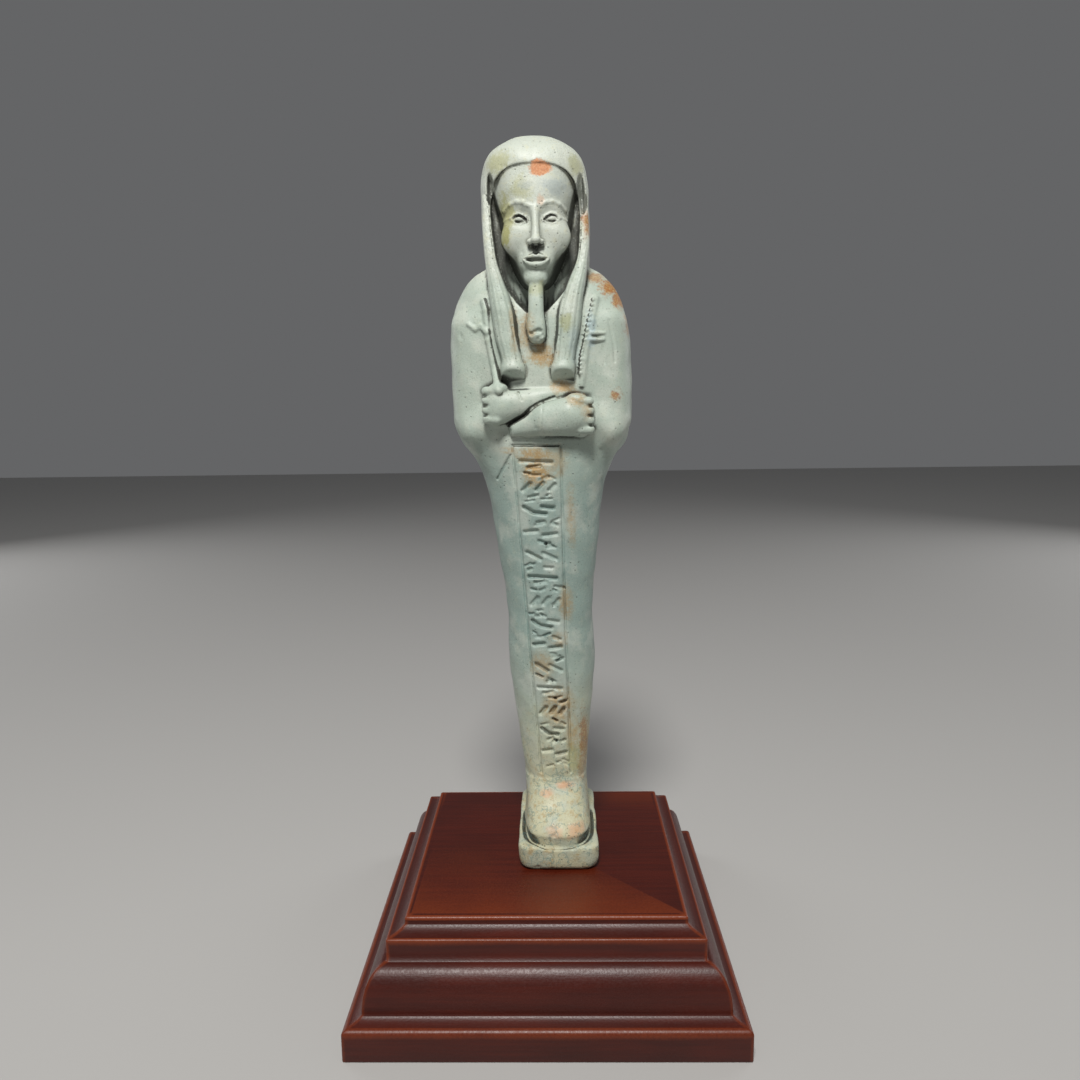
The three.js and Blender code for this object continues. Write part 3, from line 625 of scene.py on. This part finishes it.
def lumps(points, wave, seed):
    # smooth seeded noise between -1 and 1, its bumps about one wave apart
    table = np.random.default_rng(seed).uniform(-1, 1, (32, 32, 32))
    cell = points / wave
    corner = np.floor(cell).astype(int)
    t = cell - corner
    t = t * t * (3 - 2 * t)
    total = np.zeros(len(points))
    for step in np.ndindex(2, 2, 2):
        weight = np.prod(np.where(step, t, 1 - t), axis=1)
        i, j, k = ((corner + step) % 32).T
        total += weight * table[i, j, k]
    return total


def roughen(points, outward):
    # the sandy surface of worn faience, and the small pits in it
    rise = sum(lumps(points, wave, seed) * height for seed, (wave, height) in enumerate(wear["grainWaves"]))
    random = np.random.default_rng(8)
    for pit in range(wear["pits"]):
        middle = points[random.integers(len(points))]
        radius = random.uniform(wear["pitSmall"], wear["pitLarge"])
        depth = random.uniform(0.4, 1) * wear["pitDepth"]
        near = ((points - middle) ** 2).sum(1) / radius ** 2
        rise -= depth * np.clip(1 - near, 0, 1) ** 1.5
    inset = 0.04 - rise * fade(0.0, 0.6, points[:, 2])
    return points - outward * np.maximum(inset, 0)[:, None]


def settle(points):
    # the hand-made figure leans and turns a little
    x, y, z = points.T
    turned = fade(*ushabti["turnFrom"], z) * (1 - fade(*ushabti["turnBack"], z))
    angle = math.radians(ushabti["turn"]) * turned
    settledX = x * np.cos(angle) - y * np.sin(angle) + ushabti["leanPerMm"] * z + ushabti["standsAtX"]
    settledY = x * np.sin(angle) + y * np.cos(angle) + ushabti["standsAtY"]
    return np.stack([settledX, settledY, z + standHeight], 1) * mm


def intoScene(thing):
    bpy.context.scene.collection.objects.link(thing)
    return thing


def meshObject(name, verts, faces):
    mesh = bpy.data.meshes.new(name)
    mesh.from_pydata(verts.tolist(), [], faces.tolist())
    mesh.validate()
    return intoScene(bpy.data.objects.new(name, mesh))


def thinOut(thing, triangles):
    thing.data.calc_loop_triangles()
    decimate = thing.modifiers.new("thin out", "DECIMATE")
    decimate.ratio = min(1.0, triangles / len(thing.data.loop_triangles))
    view = bpy.context.evaluated_depsgraph_get()
    thinned = bpy.data.meshes.new_from_object(thing.evaluated_get(view))
    thing.modifiers.clear()
    thing.data = thinned
    return thing


def surfaceValue(thing, name, values):
    attribute = thing.data.attributes.new(name, "FLOAT", "POINT")
    attribute.data.foreach_set("value", np.ascontiguousarray(values, np.float32))


def makeUshabti():
    clay = Clay()
    for step in (shapeTrunk, shapeColumn, shapeHair, shapeFace, shapeHands, shapeTools, wearAway):
        step(clay)
    reach = ushabti["blockDepth"] / 2 + 1
    verts, faces = clay.surface((-23, -reach, -1), (23, reach, 167), ushabti["spacing"])
    print("figure netted:", len(faces), "quads")
    thing = thinOut(meshObject("ushabti_figure", verts, faces), ushabti["triangles"])
    count = len(thing.data.vertices)
    points = np.empty(count * 3, np.float32)
    thing.data.vertices.foreach_get("co", points)
    points = points.reshape(-1, 3).astype(float)
    for turn in range(2):     # pull the thinned mesh back onto the modelled surface
        slope = clay.slope(points)
        steep = np.maximum((slope ** 2).sum(1), 0.05)
        points -= slope * np.clip(clay.layers(points) / steep, -0.3, 0.3)[:, None]
    points[:, 2] = np.maximum(points[:, 2], 0)
    outward = clay.slope(points)
    outward /= np.maximum(np.linalg.norm(outward, axis=1), 1e-6)[:, None]

    def closedIn(away):
        return np.clip(1 - clay.layers(points + outward * away) / away, 0, 1)
    surfaceValue(thing, "recess", (closedIn(0.5) + closedIn(1.3)) / 2)
    # how deeply each point is closed in, used only to paint shade into the deep hollows
    surfaceValue(thing, "hollow", closedIn(3.2))
    surfaceValue(thing, "crest", np.clip(1 + clay.layers(points - outward * 0.7) / 0.7, 0, 1))
    points = roughen(points, outward)
    thing.data.vertices.foreach_set("co", settle(points).astype(np.float32).ravel())
    thing.data.shade_smooth()
    thing.data.update()
    print("figure finished:", len(thing.data.polygons), "faces")
    return thing


# ---- the display stand ----

stand = dict(
    tableHalf=30.0, tableEdge=0.6, tableFaceBottom=23.1, coveBottom=21.7, tierHalf=33.5, tierEdge=0.5,
    ovoloTop=16.8, ovoloBottom=8.4, ovoloHalf=38.1, ovoloTopHalf=33.8, ledgeTop=7.9,
    plinthTop=6.9, plinthHalf=41.6, plinthEdge=1.1, footEdge=0.3, cornerRadius=0.4,
    mitreWear=1.3, edgeWear=1.5, coveBend=0.55,
)


def arcPoints(centreX, centreZ, reach, rise, start, end, steps):
    angles = np.radians(np.linspace(start, end, steps + 1))
    return [(centreX + reach * math.cos(a), centreZ + rise * math.sin(a)) for a in angles]


def standProfile():
    # the outline from the underside up: half width, height, and how worn that edge is
    s = stand
    rows = []

    def plain(points):
        rows.extend((half, z, 0.0) for half, z in points)

    def edge(half, top, radius, worn):
        plain([(half, top - radius - s["edgeWear"])])
        arc = arcPoints(half - radius, top - radius, radius, radius, 0, 90, 8)
        rows.extend((x, z, worn) for x, z in arc)

    def cove(outer, bottom, inner, top, steps):
        # a hollow that is half as deep as a full quarter round
        arc = np.array(arcPoints(outer, top, outer - inner, top - bottom, 270, 180, steps))
        chord = np.linspace((outer, bottom), (inner, top), steps + 1)
        plain(chord[1:] + (arc - chord)[1:] * s["coveBend"])
    foot = s["footEdge"]
    plain(arcPoints(s["plinthHalf"] - foot, foot, foot, foot, -90, 0, 4))
    edge(s["plinthHalf"], s["plinthTop"], s["plinthEdge"], 0.8)
    cove(s["plinthHalf"] - s["plinthEdge"], s["plinthTop"], s["ovoloHalf"], s["ledgeTop"], 10)
    reach, rise = s["ovoloHalf"] - s["ovoloTopHalf"], s["ovoloTop"] - s["ovoloBottom"]
    plain(arcPoints(s["ovoloTopHalf"], s["ovoloBottom"], reach, rise, 0, 90, 24))
    plain([(s["tierHalf"], s["ovoloTop"] + 0.05)])
    edge(s["tierHalf"], s["coveBottom"], s["tierEdge"], 0.85)
    cove(s["tierHalf"] - s["tierEdge"], s["coveBottom"], s["tableHalf"], s["tableFaceBottom"], 14)
    rim = s["tableEdge"]
    rows.append((s["tableHalf"], standHeight - rim - 0.25, 0.2))
    arc = arcPoints(s["tableHalf"] - rim, standHeight - rim, rim, rim, 0, 90, 8)
    rows.extend((x, z, 1.0) for x, z in arc)
    plain([(s["tableHalf"] - rim - 0.6, standHeight)])
    return rows


def roundedSquare(half, corner, wide):
    # the plan at one height, with a mark on the points that sit on the corners
    points = []
    for quarter in range(4):
        turn = math.pi / 2 * quarter
        for angle in np.radians([-45, -22.5, 0, 22.5, 45]):
            reach, outward = half - corner, angle + math.pi / 4
            local = (reach + corner * math.cos(outward), reach + corner * math.sin(outward))
            points.append((local, turn, 1.0))
        for back in (wide, half, 2 * half - wide):
            points.append(((half - back, half), turn, 0.0))
    return [(x * math.cos(t) - y * math.sin(t), x * math.sin(t) + y * math.cos(t), mark)
            for (x, y), t, mark in points]


def makeStand():
    rows = standProfile()
    verts, worn, mitre = [], [], []
    for half, z, rubbed in rows:
        for x, y, corner in roundedSquare(half, stand["cornerRadius"], stand["mitreWear"]):
            verts.append((x * mm, y * mm, z * mm))
            worn.append(rubbed)
            mitre.append(corner)
    around = len(verts) // len(rows)
    faces = []
    for level in range(len(rows) - 1):
        for i in range(around):
            j = (i + 1) % around
            a, b = level * around, (level + 1) * around
            faces.append((a + i, a + j, b + j, b + i))
    faces.append(tuple(reversed(range(around))))
    top = (len(rows) - 1) * around
    faces.append(tuple(range(top, top + around)))
    mesh = bpy.data.meshes.new("wooden_stand")
    mesh.from_pydata(verts, [], faces)
    thing = intoScene(bpy.data.objects.new("wooden_stand", mesh))
    surfaceValue(thing, "worn", worn)
    surfaceValue(thing, "mitre", mitre)
    mesh.shade_smooth()
    for face in mesh.polygons[-2:]:
        face.use_smooth = False
    print("stand finished:", len(mesh.polygons), "faces")
    return thing


# ---- materials ----

def tint(code):
    # an everyday colour code as linear light
    parts = [int(code[i:i + 2], 16) / 255 for i in (1, 3, 5)]
    return tuple(p / 12.92 if p <= 0.04045 else ((p + 0.055) / 1.055) ** 2.4 for p in parts) + (1.0,)


class Wire:
    # a socket that can be used in sums
    def __init__(self, recipe, socket):
        self.recipe, self.socket = recipe, socket

    def sum(self, operation, *values):
        return self.recipe.node("ShaderNodeMath", {"operation": operation}, dict(enumerate(values)))

    def __add__(self, other):
        return self.sum("ADD", self, other)

    def __sub__(self, other):
        return self.sum("SUBTRACT", self, other)

    def __rsub__(self, other):
        return self.sum("SUBTRACT", other, self)

    def __mul__(self, other):
        return self.sum("MULTIPLY", self, other)

    __radd__ = __add__
    __rmul__ = __mul__

    def clamped(self):
        return self.sum("MINIMUM", self.sum("MAXIMUM", self, 0.0), 1.0)

    def largest(self, other):
        return self.sum("MAXIMUM", self, other)


class Recipe:
    def __init__(self, name):
        self.material = bpy.data.materials.new(name)
        self.material.use_nodes = True
        self.tree = self.material.node_tree
        self.tree.nodes.clear()

    def node(self, kind, settings, values, out=0):
        made = self.tree.nodes.new(kind)
        for key, value in settings.items():
            setattr(made, key, value)
        for key, value in values.items():
            socket = made.inputs[key] if isinstance(key, int) else next(
                s for s in made.inputs if key in (s.identifier, s.name))
            if isinstance(value, Wire):
                self.tree.links.new(value.socket, socket)
            else:
                socket.default_value = value
        if not len(made.outputs):
            return made
        found = made.outputs[out] if isinstance(out, int) else next(
            s for s in made.outputs if out in (s.identifier, s.name))
        return Wire(self, found)

    def place(self):
        # where a point is on its piece, in millimetres
        here = self.node("ShaderNodeTexCoord", {}, {}, "Object")
        return self.node("ShaderNodeVectorMath", {"operation": "SCALE"}, {0: here, "Scale": 1 / mm})

    def noise(self, place, scale, detail=3.0, roughness=0.55):
        return self.node("ShaderNodeTexNoise", {}, {
            "Vector": place, "Scale": scale, "Detail": detail, "Roughness": roughness})

    def cells(self, place, scale):
        return self.node("ShaderNodeTexVoronoi", {}, {"Vector": place, "Scale": scale})

    def ramp(self, value, start, end):
        # 0 before start, 1 after end, smooth between; start may be the larger
        return self.node("ShaderNodeMapRange", {"interpolation_type": "SMOOTHSTEP"}, {
            "Value": value, "From Min": min(start, end), "From Max": max(start, end),
            "To Min": 0.0 if start < end else 1.0, "To Max": 1.0 if start < end else 0.0})

    def mix(self, share, first, second):
        return self.node("ShaderNodeMix", {"data_type": "RGBA"}, {
            "Factor_Float": share, "A_Color": first, "B_Color": second}, "Result_Color")

    def attribute(self, name):
        return self.node("ShaderNodeAttribute", {"attribute_name": name}, {}, "Fac")

    def vector(self, operation, first, second, out=0):
        return self.node("ShaderNodeVectorMath", {"operation": operation}, {0: first, 1: second}, out)

    def apart(self, place, axis):
        return self.node("ShaderNodeSeparateXYZ", {}, {"Vector": place}, axis)

    def spot(self, place, centre, radii, ragged, start=1.35, end=0.45):
        # a patch round a point, with an edge broken up by the ragged value
        offset = self.vector("DIVIDE", self.vector("SUBTRACT", place, centre), radii)
        far = self.vector("LENGTH", offset, (0, 0, 0), "Value")
        return self.ramp(far + ragged, start, end)

    def finish(self, surface, height=None, strength=0.3, depth=0.0002):
        if height is not None:
            surface["Normal"] = self.node("ShaderNodeBump", {}, {
                "Height": height, "Strength": strength, "Distance": depth})
        shader = self.node("ShaderNodeBsdfPrincipled", {}, surface)
        self.node("ShaderNodeOutputMaterial", {}, {"Surface": shader})
        return self.material


# the faience's colours; the near-black one is painted shade for the deep hollows
faienceColours = {name: tint(code) for name, code in dict(
    glaze="#a9b6aa", blue="#879b95", pale="#c9cdc2", cream="#c3bf9c", teal="#557c7a", olive="#9c9a58",
    slate="#939fa3", ochre="#a97f38", rust="#96520f", salmon="#cf9a74", tan="#ab9468", dirt="#4c4b38",
    painted_shade="#17150f", brown="#5e3d14", pit="#454a42", sky="#a3b9c2", bare="#bd7a50",
).items()}
# places of the stains on the upright figure, and of one patch of painted shade under the chin among the olive
# ones: middle, radii, strength
rustSpots = [
    ((12.6, -1, 134.6), (2.2, 7, 1.5), 0.75), ((15.6, -2, 132.2), (2.0, 7, 1.9), 1.0),
    ((17.8, -2, 129.6), (1.7, 7, 2.3), 1.0), ((19.2, -1, 124.4), (1.2, 6, 2.6), 0.75),
    ((16.3, -8, 108.7), (1.3, 5, 1.3), 0.85), ((10.8, -5, 145.2), (1.1, 5, 3.3), 0.95),
    ((7.0, -3, 28), (1.3, 6, 6.5), 0.75), ((6.2, -4, 21), (1.0, 6, 3.0), 0.5),
]
ochreSpots = [
    ((-5.4, -11, 123.5), (1.0, 5, 6.5), 0.6), ((-2.8, -10, 122.5), (1.7, 5, 4.5), 0.7),
    ((0.3, -10, 117.5), (3.6, 5, 2.7), 1.0), ((4.4, -10, 110.6), (2.9, 5, 1.7), 0.9),
    ((7.4, -11, 107.8), (2.3, 5, 2.0), 0.85), ((9.6, -12, 105.4), (1.5, 4, 2.0), 0.6),
    ((-7.8, -9, 96.9), (2.6, 5, 1.0), 0.7), ((-2.4, -10, 96.0), (4.8, 5, 2.0), 0.9),
    ((-1.8, -10, 91.8), (3.4, 5, 2.9), 1.0), ((2.4, -10, 94.0), (2.7, 5, 3.4), 0.5),
    ((5.6, -10, 81.5), (1.3, 5, 6.5), 0.55), ((3.7, -9, 61.5), (1.6, 5, 4.2), 0.65),
    ((1.9, -9, 53.4), (2.2, 5, 2.2), 0.6), ((-2.4, -9, 46.5), (2.6, 5, 4.0), 0.6),
    ((1.5, -8, 37.0), (3.7, 5, 5.0), 0.75), ((4.5, -7, 30.0), (1.6, 5, 5.0), 0.6),
]
oliveSpots = [
    ((-6.4, -9, 147.0), (2.0, 5, 4.4), 0.85), ((-6.5, -9, 142.6), (1.3, 5, 2.6), 1.0),
    ((-2.6, -10, 152.0), (2.4, 5, 2.4), 0.6), ((-7.6, -8, 158.0), (2.8, 6, 2.6), 0.65),
    ((9.2, -7, 157.4), (2.2, 6, 2.6), 0.6), ((6.0, -11, 124.5), (1.6, 4, 1.8), 0.6),
    # the patch at the chin, height 131.5, is painted shade on the chin's underside, not a stain
    ((4.6, -7, 24), (1.7, 5, 4.0), 0.6), ((0, -9, 131.5), (3.0, 5, 1.6), 0.5),
]
slateSpots = [((-1.8, -10, 152.6), (1.5, 4, 1.2), 0.7), ((3.9, -10, 152.4), (3.2, 4, 1.8), 0.65)]
salmonSpots = [
    ((2.2, -9, 17.2), (1.9, 4, 0.8), 0.9), ((-2.3, -9, 15.6), (1.5, 4, 0.9), 0.7),
    ((4.2, -14, 9.1), (2.2, 5, 1.6), 0.7), ((-0.7, -15, 8.9), (1.8, 5, 1.3), 0.55),
    ((1.4, -10, 149.6), (0.8, 3, 1.2), 0.5),
]
skySpots = [((11.2, -8, 122.6), (1.1, 4, 5.5), 0.8), ((7.6, -11, 119), (1.2, 4, 5.0), 0.4)]


def makeFaience():
    r = Recipe("worn_faience")
    c = faienceColours
    place = r.place()
    place = r.vector("SUBTRACT", place, (ushabti["standsAtX"], ushabti["standsAtY"], standHeight))
    height = r.apart(place, "Z")
    lean = r.node("ShaderNodeCombineXYZ", {}, {"X": height * ushabti["leanPerMm"]})
    place = r.vector("SUBTRACT", place, lean)
    recess, hollow, crest = (r.attribute(name) for name in ("recess", "hollow", "crest"))
    cloud = r.noise(place, 0.055, 3.0, 0.6)
    patch = r.noise(r.vector("ADD", place, (40, 7, 11)), 0.16, 4.0, 0.6)
    mottle = r.noise(place, 0.55, 5.0, 0.65)
    grain = r.noise(place, 2.6, 4.0, 0.6)
    tatter = (mottle - 0.5) * 2.4 + (patch - 0.5) * 1.6 + (grain - 0.5) * 0.9

    def several(spots):
        total = None
        for centre, radii, strength in spots:
            mask = r.spot(place, centre, radii, tatter) * strength
            total = mask if total is None else total.largest(mask)
        return total
    legs = r.ramp(height + (cloud - 0.5) * 30, 108, 84) * r.ramp(height + (cloud - 0.5) * 20, 34, 58)
    head = r.ramp(height + (cloud - 0.5) * 8, 130, 142)
    feet = r.ramp(height + (patch - 0.5) * 40, 44, 14)
    colour = r.mix(legs * 0.85, c["glaze"], c["blue"])
    colour = r.mix(r.ramp(patch, 0.46, 0.66) * 0.4, colour, c["pale"])
    colour = r.mix(head * 0.6, colour, c["pale"])
    colour = r.mix(r.ramp(mottle, 0.52, 0.7) * (0.1 + head * 0.3), colour, c["cream"])
    colour = r.mix(feet * 0.8, colour, c["cream"])
    colour = r.mix(feet * r.ramp(mottle, 0.5, 0.66) * 0.7, colour, c["tan"])
    colour = r.mix(feet * r.ramp(patch, 0.5, 0.4) * 0.5, colour, c["glaze"])
    colour = r.mix(several(oliveSpots) * 0.8, colour, c["olive"])
    colour = r.mix(several(slateSpots) * 0.7, colour, c["slate"])
    colour = r.mix(several(skySpots) * 0.6, colour, c["sky"])
    stain = several(ochreSpots)
    colour = r.mix(stain * r.ramp(mottle + recess * 0.3, 0.3, 0.58) * 0.8, colour, c["ochre"])
    colour = r.mix(several(rustSpots) * 0.9, colour, r.mix(r.ramp(grain, 0.4, 0.6), c["rust"], c["ochre"]))
    colour = r.mix(several(salmonSpots) * 0.8, colour, c["salmon"])
    bare = r.spot(place, (1.3, -8, 156.2), (2.6, 8, 1.9), tatter * 0.45, 1.1, 0.8)
    colour = r.mix(bare, colour, r.mix(r.ramp(grain, 0.35, 0.65), c["salmon"], c["bare"]))
    # dirt lies in what is carved: blue glaze pools on the legs, brown under the stains
    carved = r.ramp(recess + (mottle - 0.5) * 0.3, 0.22, 0.75)
    colour = r.mix(carved * 0.6, colour, r.mix(legs * 0.8, c["dirt"], c["teal"]))
    colour = r.mix(carved * stain * 0.7, colour, c["brown"])
    # painted shade: where the surface is deeply closed in, as beside the cheeks and in the gap under the
    # chin, the colour goes towards near black
    colour = r.mix(r.ramp(hollow + (mottle - 0.5) * 0.2, 0.5, 0.8) * 0.85, colour, c["painted_shade"])
    colour = r.mix(r.ramp(crest, 0.45, 0.9) * 0.3, colour, c["pale"])
    rare = r.ramp(r.noise(r.vector("ADD", place, (9, 3, 50)), 0.35, 2.0), 0.46, 0.58)
    pits = r.ramp(r.cells(place, 0.85), 0.19, 0.08) * rare
    colour = r.mix(pits * 0.6, colour, c["pit"])
    thread = r.noise(place, 0.28, 4.0) - 0.5
    veins = r.ramp(thread.sum("ABSOLUTE", thread), 0.02, 0.004)
    colour = r.mix(veins * feet * 0.5, colour, c["teal"])
    colour = r.mix(r.ramp(r.noise(place, 3.2, 3.0), 0.57, 0.7) * 0.3, colour, c["dirt"])
    colour = r.mix(r.ramp(grain, 0.55, 0.7) * 0.25, colour, c["pale"])
    roughness = 0.44 + r.ramp(mottle, 0.35, 0.7) * 0.16 + carved * 0.2 + bare * 0.3 + feet * 0.08
    bumps = grain * 0.6 + mottle * 0.5 - pits * 0.9 - bare * 0.5 + r.noise(place, 6.0, 2.0) * 0.3
    return r.finish({
        "Base Color": colour, "Roughness": roughness.clamped(), "Specular IOR Level": 0.4, "Coat Weight": 0.1,
        "Coat Roughness": 0.3, "Subsurface Weight": 0.05, "Subsurface Radius": (1.0, 0.9, 0.7),
        "Subsurface Scale": 0.0008,
    }, bumps, 0.6, 0.00022)


lacquer = dict(
    dark=tint("#3f0d02"), red=tint("#4a1203"), deep=tint("#2e0802"), worn=tint("#7d3208"), roughness=0.38,
)


def makeLacqueredWood():
    r = Recipe("lacquered_wood")
    c = lacquer
    place = r.place()
    x, y = r.apart(place, "X"), r.apart(place, "Y")
    # the grain runs along each mitred length
    sideways = r.ramp(x.sum("ABSOLUTE", x) - y.sum("ABSOLUTE", y), -0.05, 0.05)
    alongX = r.vector("MULTIPLY", place, (0.05, 1.0, 1.0))
    alongY = r.vector("MULTIPLY", place, (1.0, 0.05, 1.0))
    onTable = r.ramp(r.apart(place, "Z"), standHeight - 0.5, standHeight - 0.3)
    stretched = r.node("ShaderNodeMix", {"data_type": "VECTOR"}, {
        "Factor_Float": sideways * (1 - onTable), "A_Vector": alongX, "B_Vector": alongY}, "Result_Vector")
    fibre = r.noise(stretched, 0.9, 5.0, 0.6)
    pores = r.noise(stretched, 3.5, 3.0, 0.6)
    cloud = r.noise(place, 0.05, 2.0)
    grit = r.noise(place, 2.2, 3.0, 0.6)
    colour = r.mix(r.ramp(fibre, 0.35, 0.68), c["dark"], c["red"])
    colour = r.mix(r.ramp(cloud, 0.4, 0.65) * 0.35, colour, c["deep"])
    colour = r.mix(r.ramp(pores, 0.58, 0.72) * 0.2, colour, c["deep"])
    rub = r.attribute("worn").largest(r.attribute("mitre") * 0.75) + (grit - 0.5) * 0.4 + (cloud - 0.5) * 0.5
    colour = r.mix(r.ramp(rub, 0.3, 1.2) * 0.85, colour, c["worn"])
    roughness = c["roughness"] + r.ramp(grit, 0.35, 0.7) * 0.1
    bumps = fibre * 0.25 + pores * 0.2 + grit * 0.6
    return r.finish({
        "Base Color": colour, "Roughness": roughness, "Specular IOR Level": 0.45,
    }, bumps, 0.55, 0.0001)


def makeFloorFinish():
    r = Recipe("pale_floor")
    return r.finish({"Base Color": tint("#b4b3b1"), "Roughness": 0.8, "Specular IOR Level": 0.2})


# ---- putting it together ----

def dress(thing, material, body, node):
    thing.data.materials.clear()
    thing.data.materials.append(material)
    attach(thing, body)
    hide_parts(node)


# the eye in millimetres, the floor and the lights in metres
studio = dict(
    lens=28.44, sensor=36, eye=(-0.774, -195.81, 130.57), pitch=8.743, roll=0.739, yaw=0.966,
    floorHalf=1.6, sky=0.16, skyColour=(0.8, 0.81, 0.83, 1), target=(0, 0, 0.1),
    keyPlace=(-0.03, -0.36, 0.60), keySize=0.14, keyWatts=4.4, keyColour=(1.0, 0.98, 0.95),
    backPlace=(0.65, 0.45, 0.3), backSize=0.5, backWatts=1.2,
)


def makeCamera():
    data = bpy.data.cameras.new("camera")
    data.lens, data.sensor_width = studio["lens"], studio["sensor"]
    data.clip_start, data.clip_end = 0.01, 20
    camera = intoScene(bpy.data.objects.new("camera", data))
    around = Matrix.Rotation(math.radians(studio["yaw"]), 4, "Z")
    tilt = Matrix.Rotation(math.radians(90 - studio["pitch"]), 4, "X")
    roll = Matrix.Rotation(math.radians(-studio["roll"]), 4, "Z")
    camera.matrix_world = around @ Matrix.Translation(Vector(studio["eye"]) * mm) @ tilt @ roll
    bpy.context.scene.camera = camera


def softLight(name, place, size, watts, colour=(1, 1, 1)):
    data = bpy.data.lights.new(name, "AREA")
    data.shape, data.size, data.energy, data.color = "DISK", size, watts, colour
    light = intoScene(bpy.data.objects.new(name, data))
    light.location = place
    light.rotation_euler = (Vector(studio["target"]) - Vector(place)).to_track_quat("-Z", "Y").to_euler()


def makeStudio():
    half = studio["floorHalf"]
    mesh = bpy.data.meshes.new("floor")
    corners = [(-half, -half, 0), (half, -half, 0), (half, half, 0), (-half, half, 0)]
    mesh.from_pydata(corners, [], [(0, 1, 2, 3)])
    floor = intoScene(bpy.data.objects.new("floor", mesh))
    mesh.materials.append(makeFloorFinish())
    softLight("key", studio["keyPlace"], studio["keySize"], studio["keyWatts"], studio["keyColour"])
    x, y, z = studio["backPlace"]
    for side in (-1, 1):
        softLight("back", (side * x, y, z), studio["backSize"], studio["backWatts"])
    world = bpy.data.worlds.new("studio")
    world.use_nodes = True
    background = world.node_tree.nodes["Background"]
    background.inputs["Color"].default_value = studio["skyColour"]
    background.inputs["Strength"].default_value = studio["sky"]
    bpy.context.scene.world = world
    bpy.context.scene.view_settings.view_transform = "Standard"


dress(makeUshabti(), makeFaience(), "root", "ushabti")
dress(makeStand(), makeLacqueredWood(), "root", "display_stand")
makeCamera()
makeStudio()
print("studio ready")
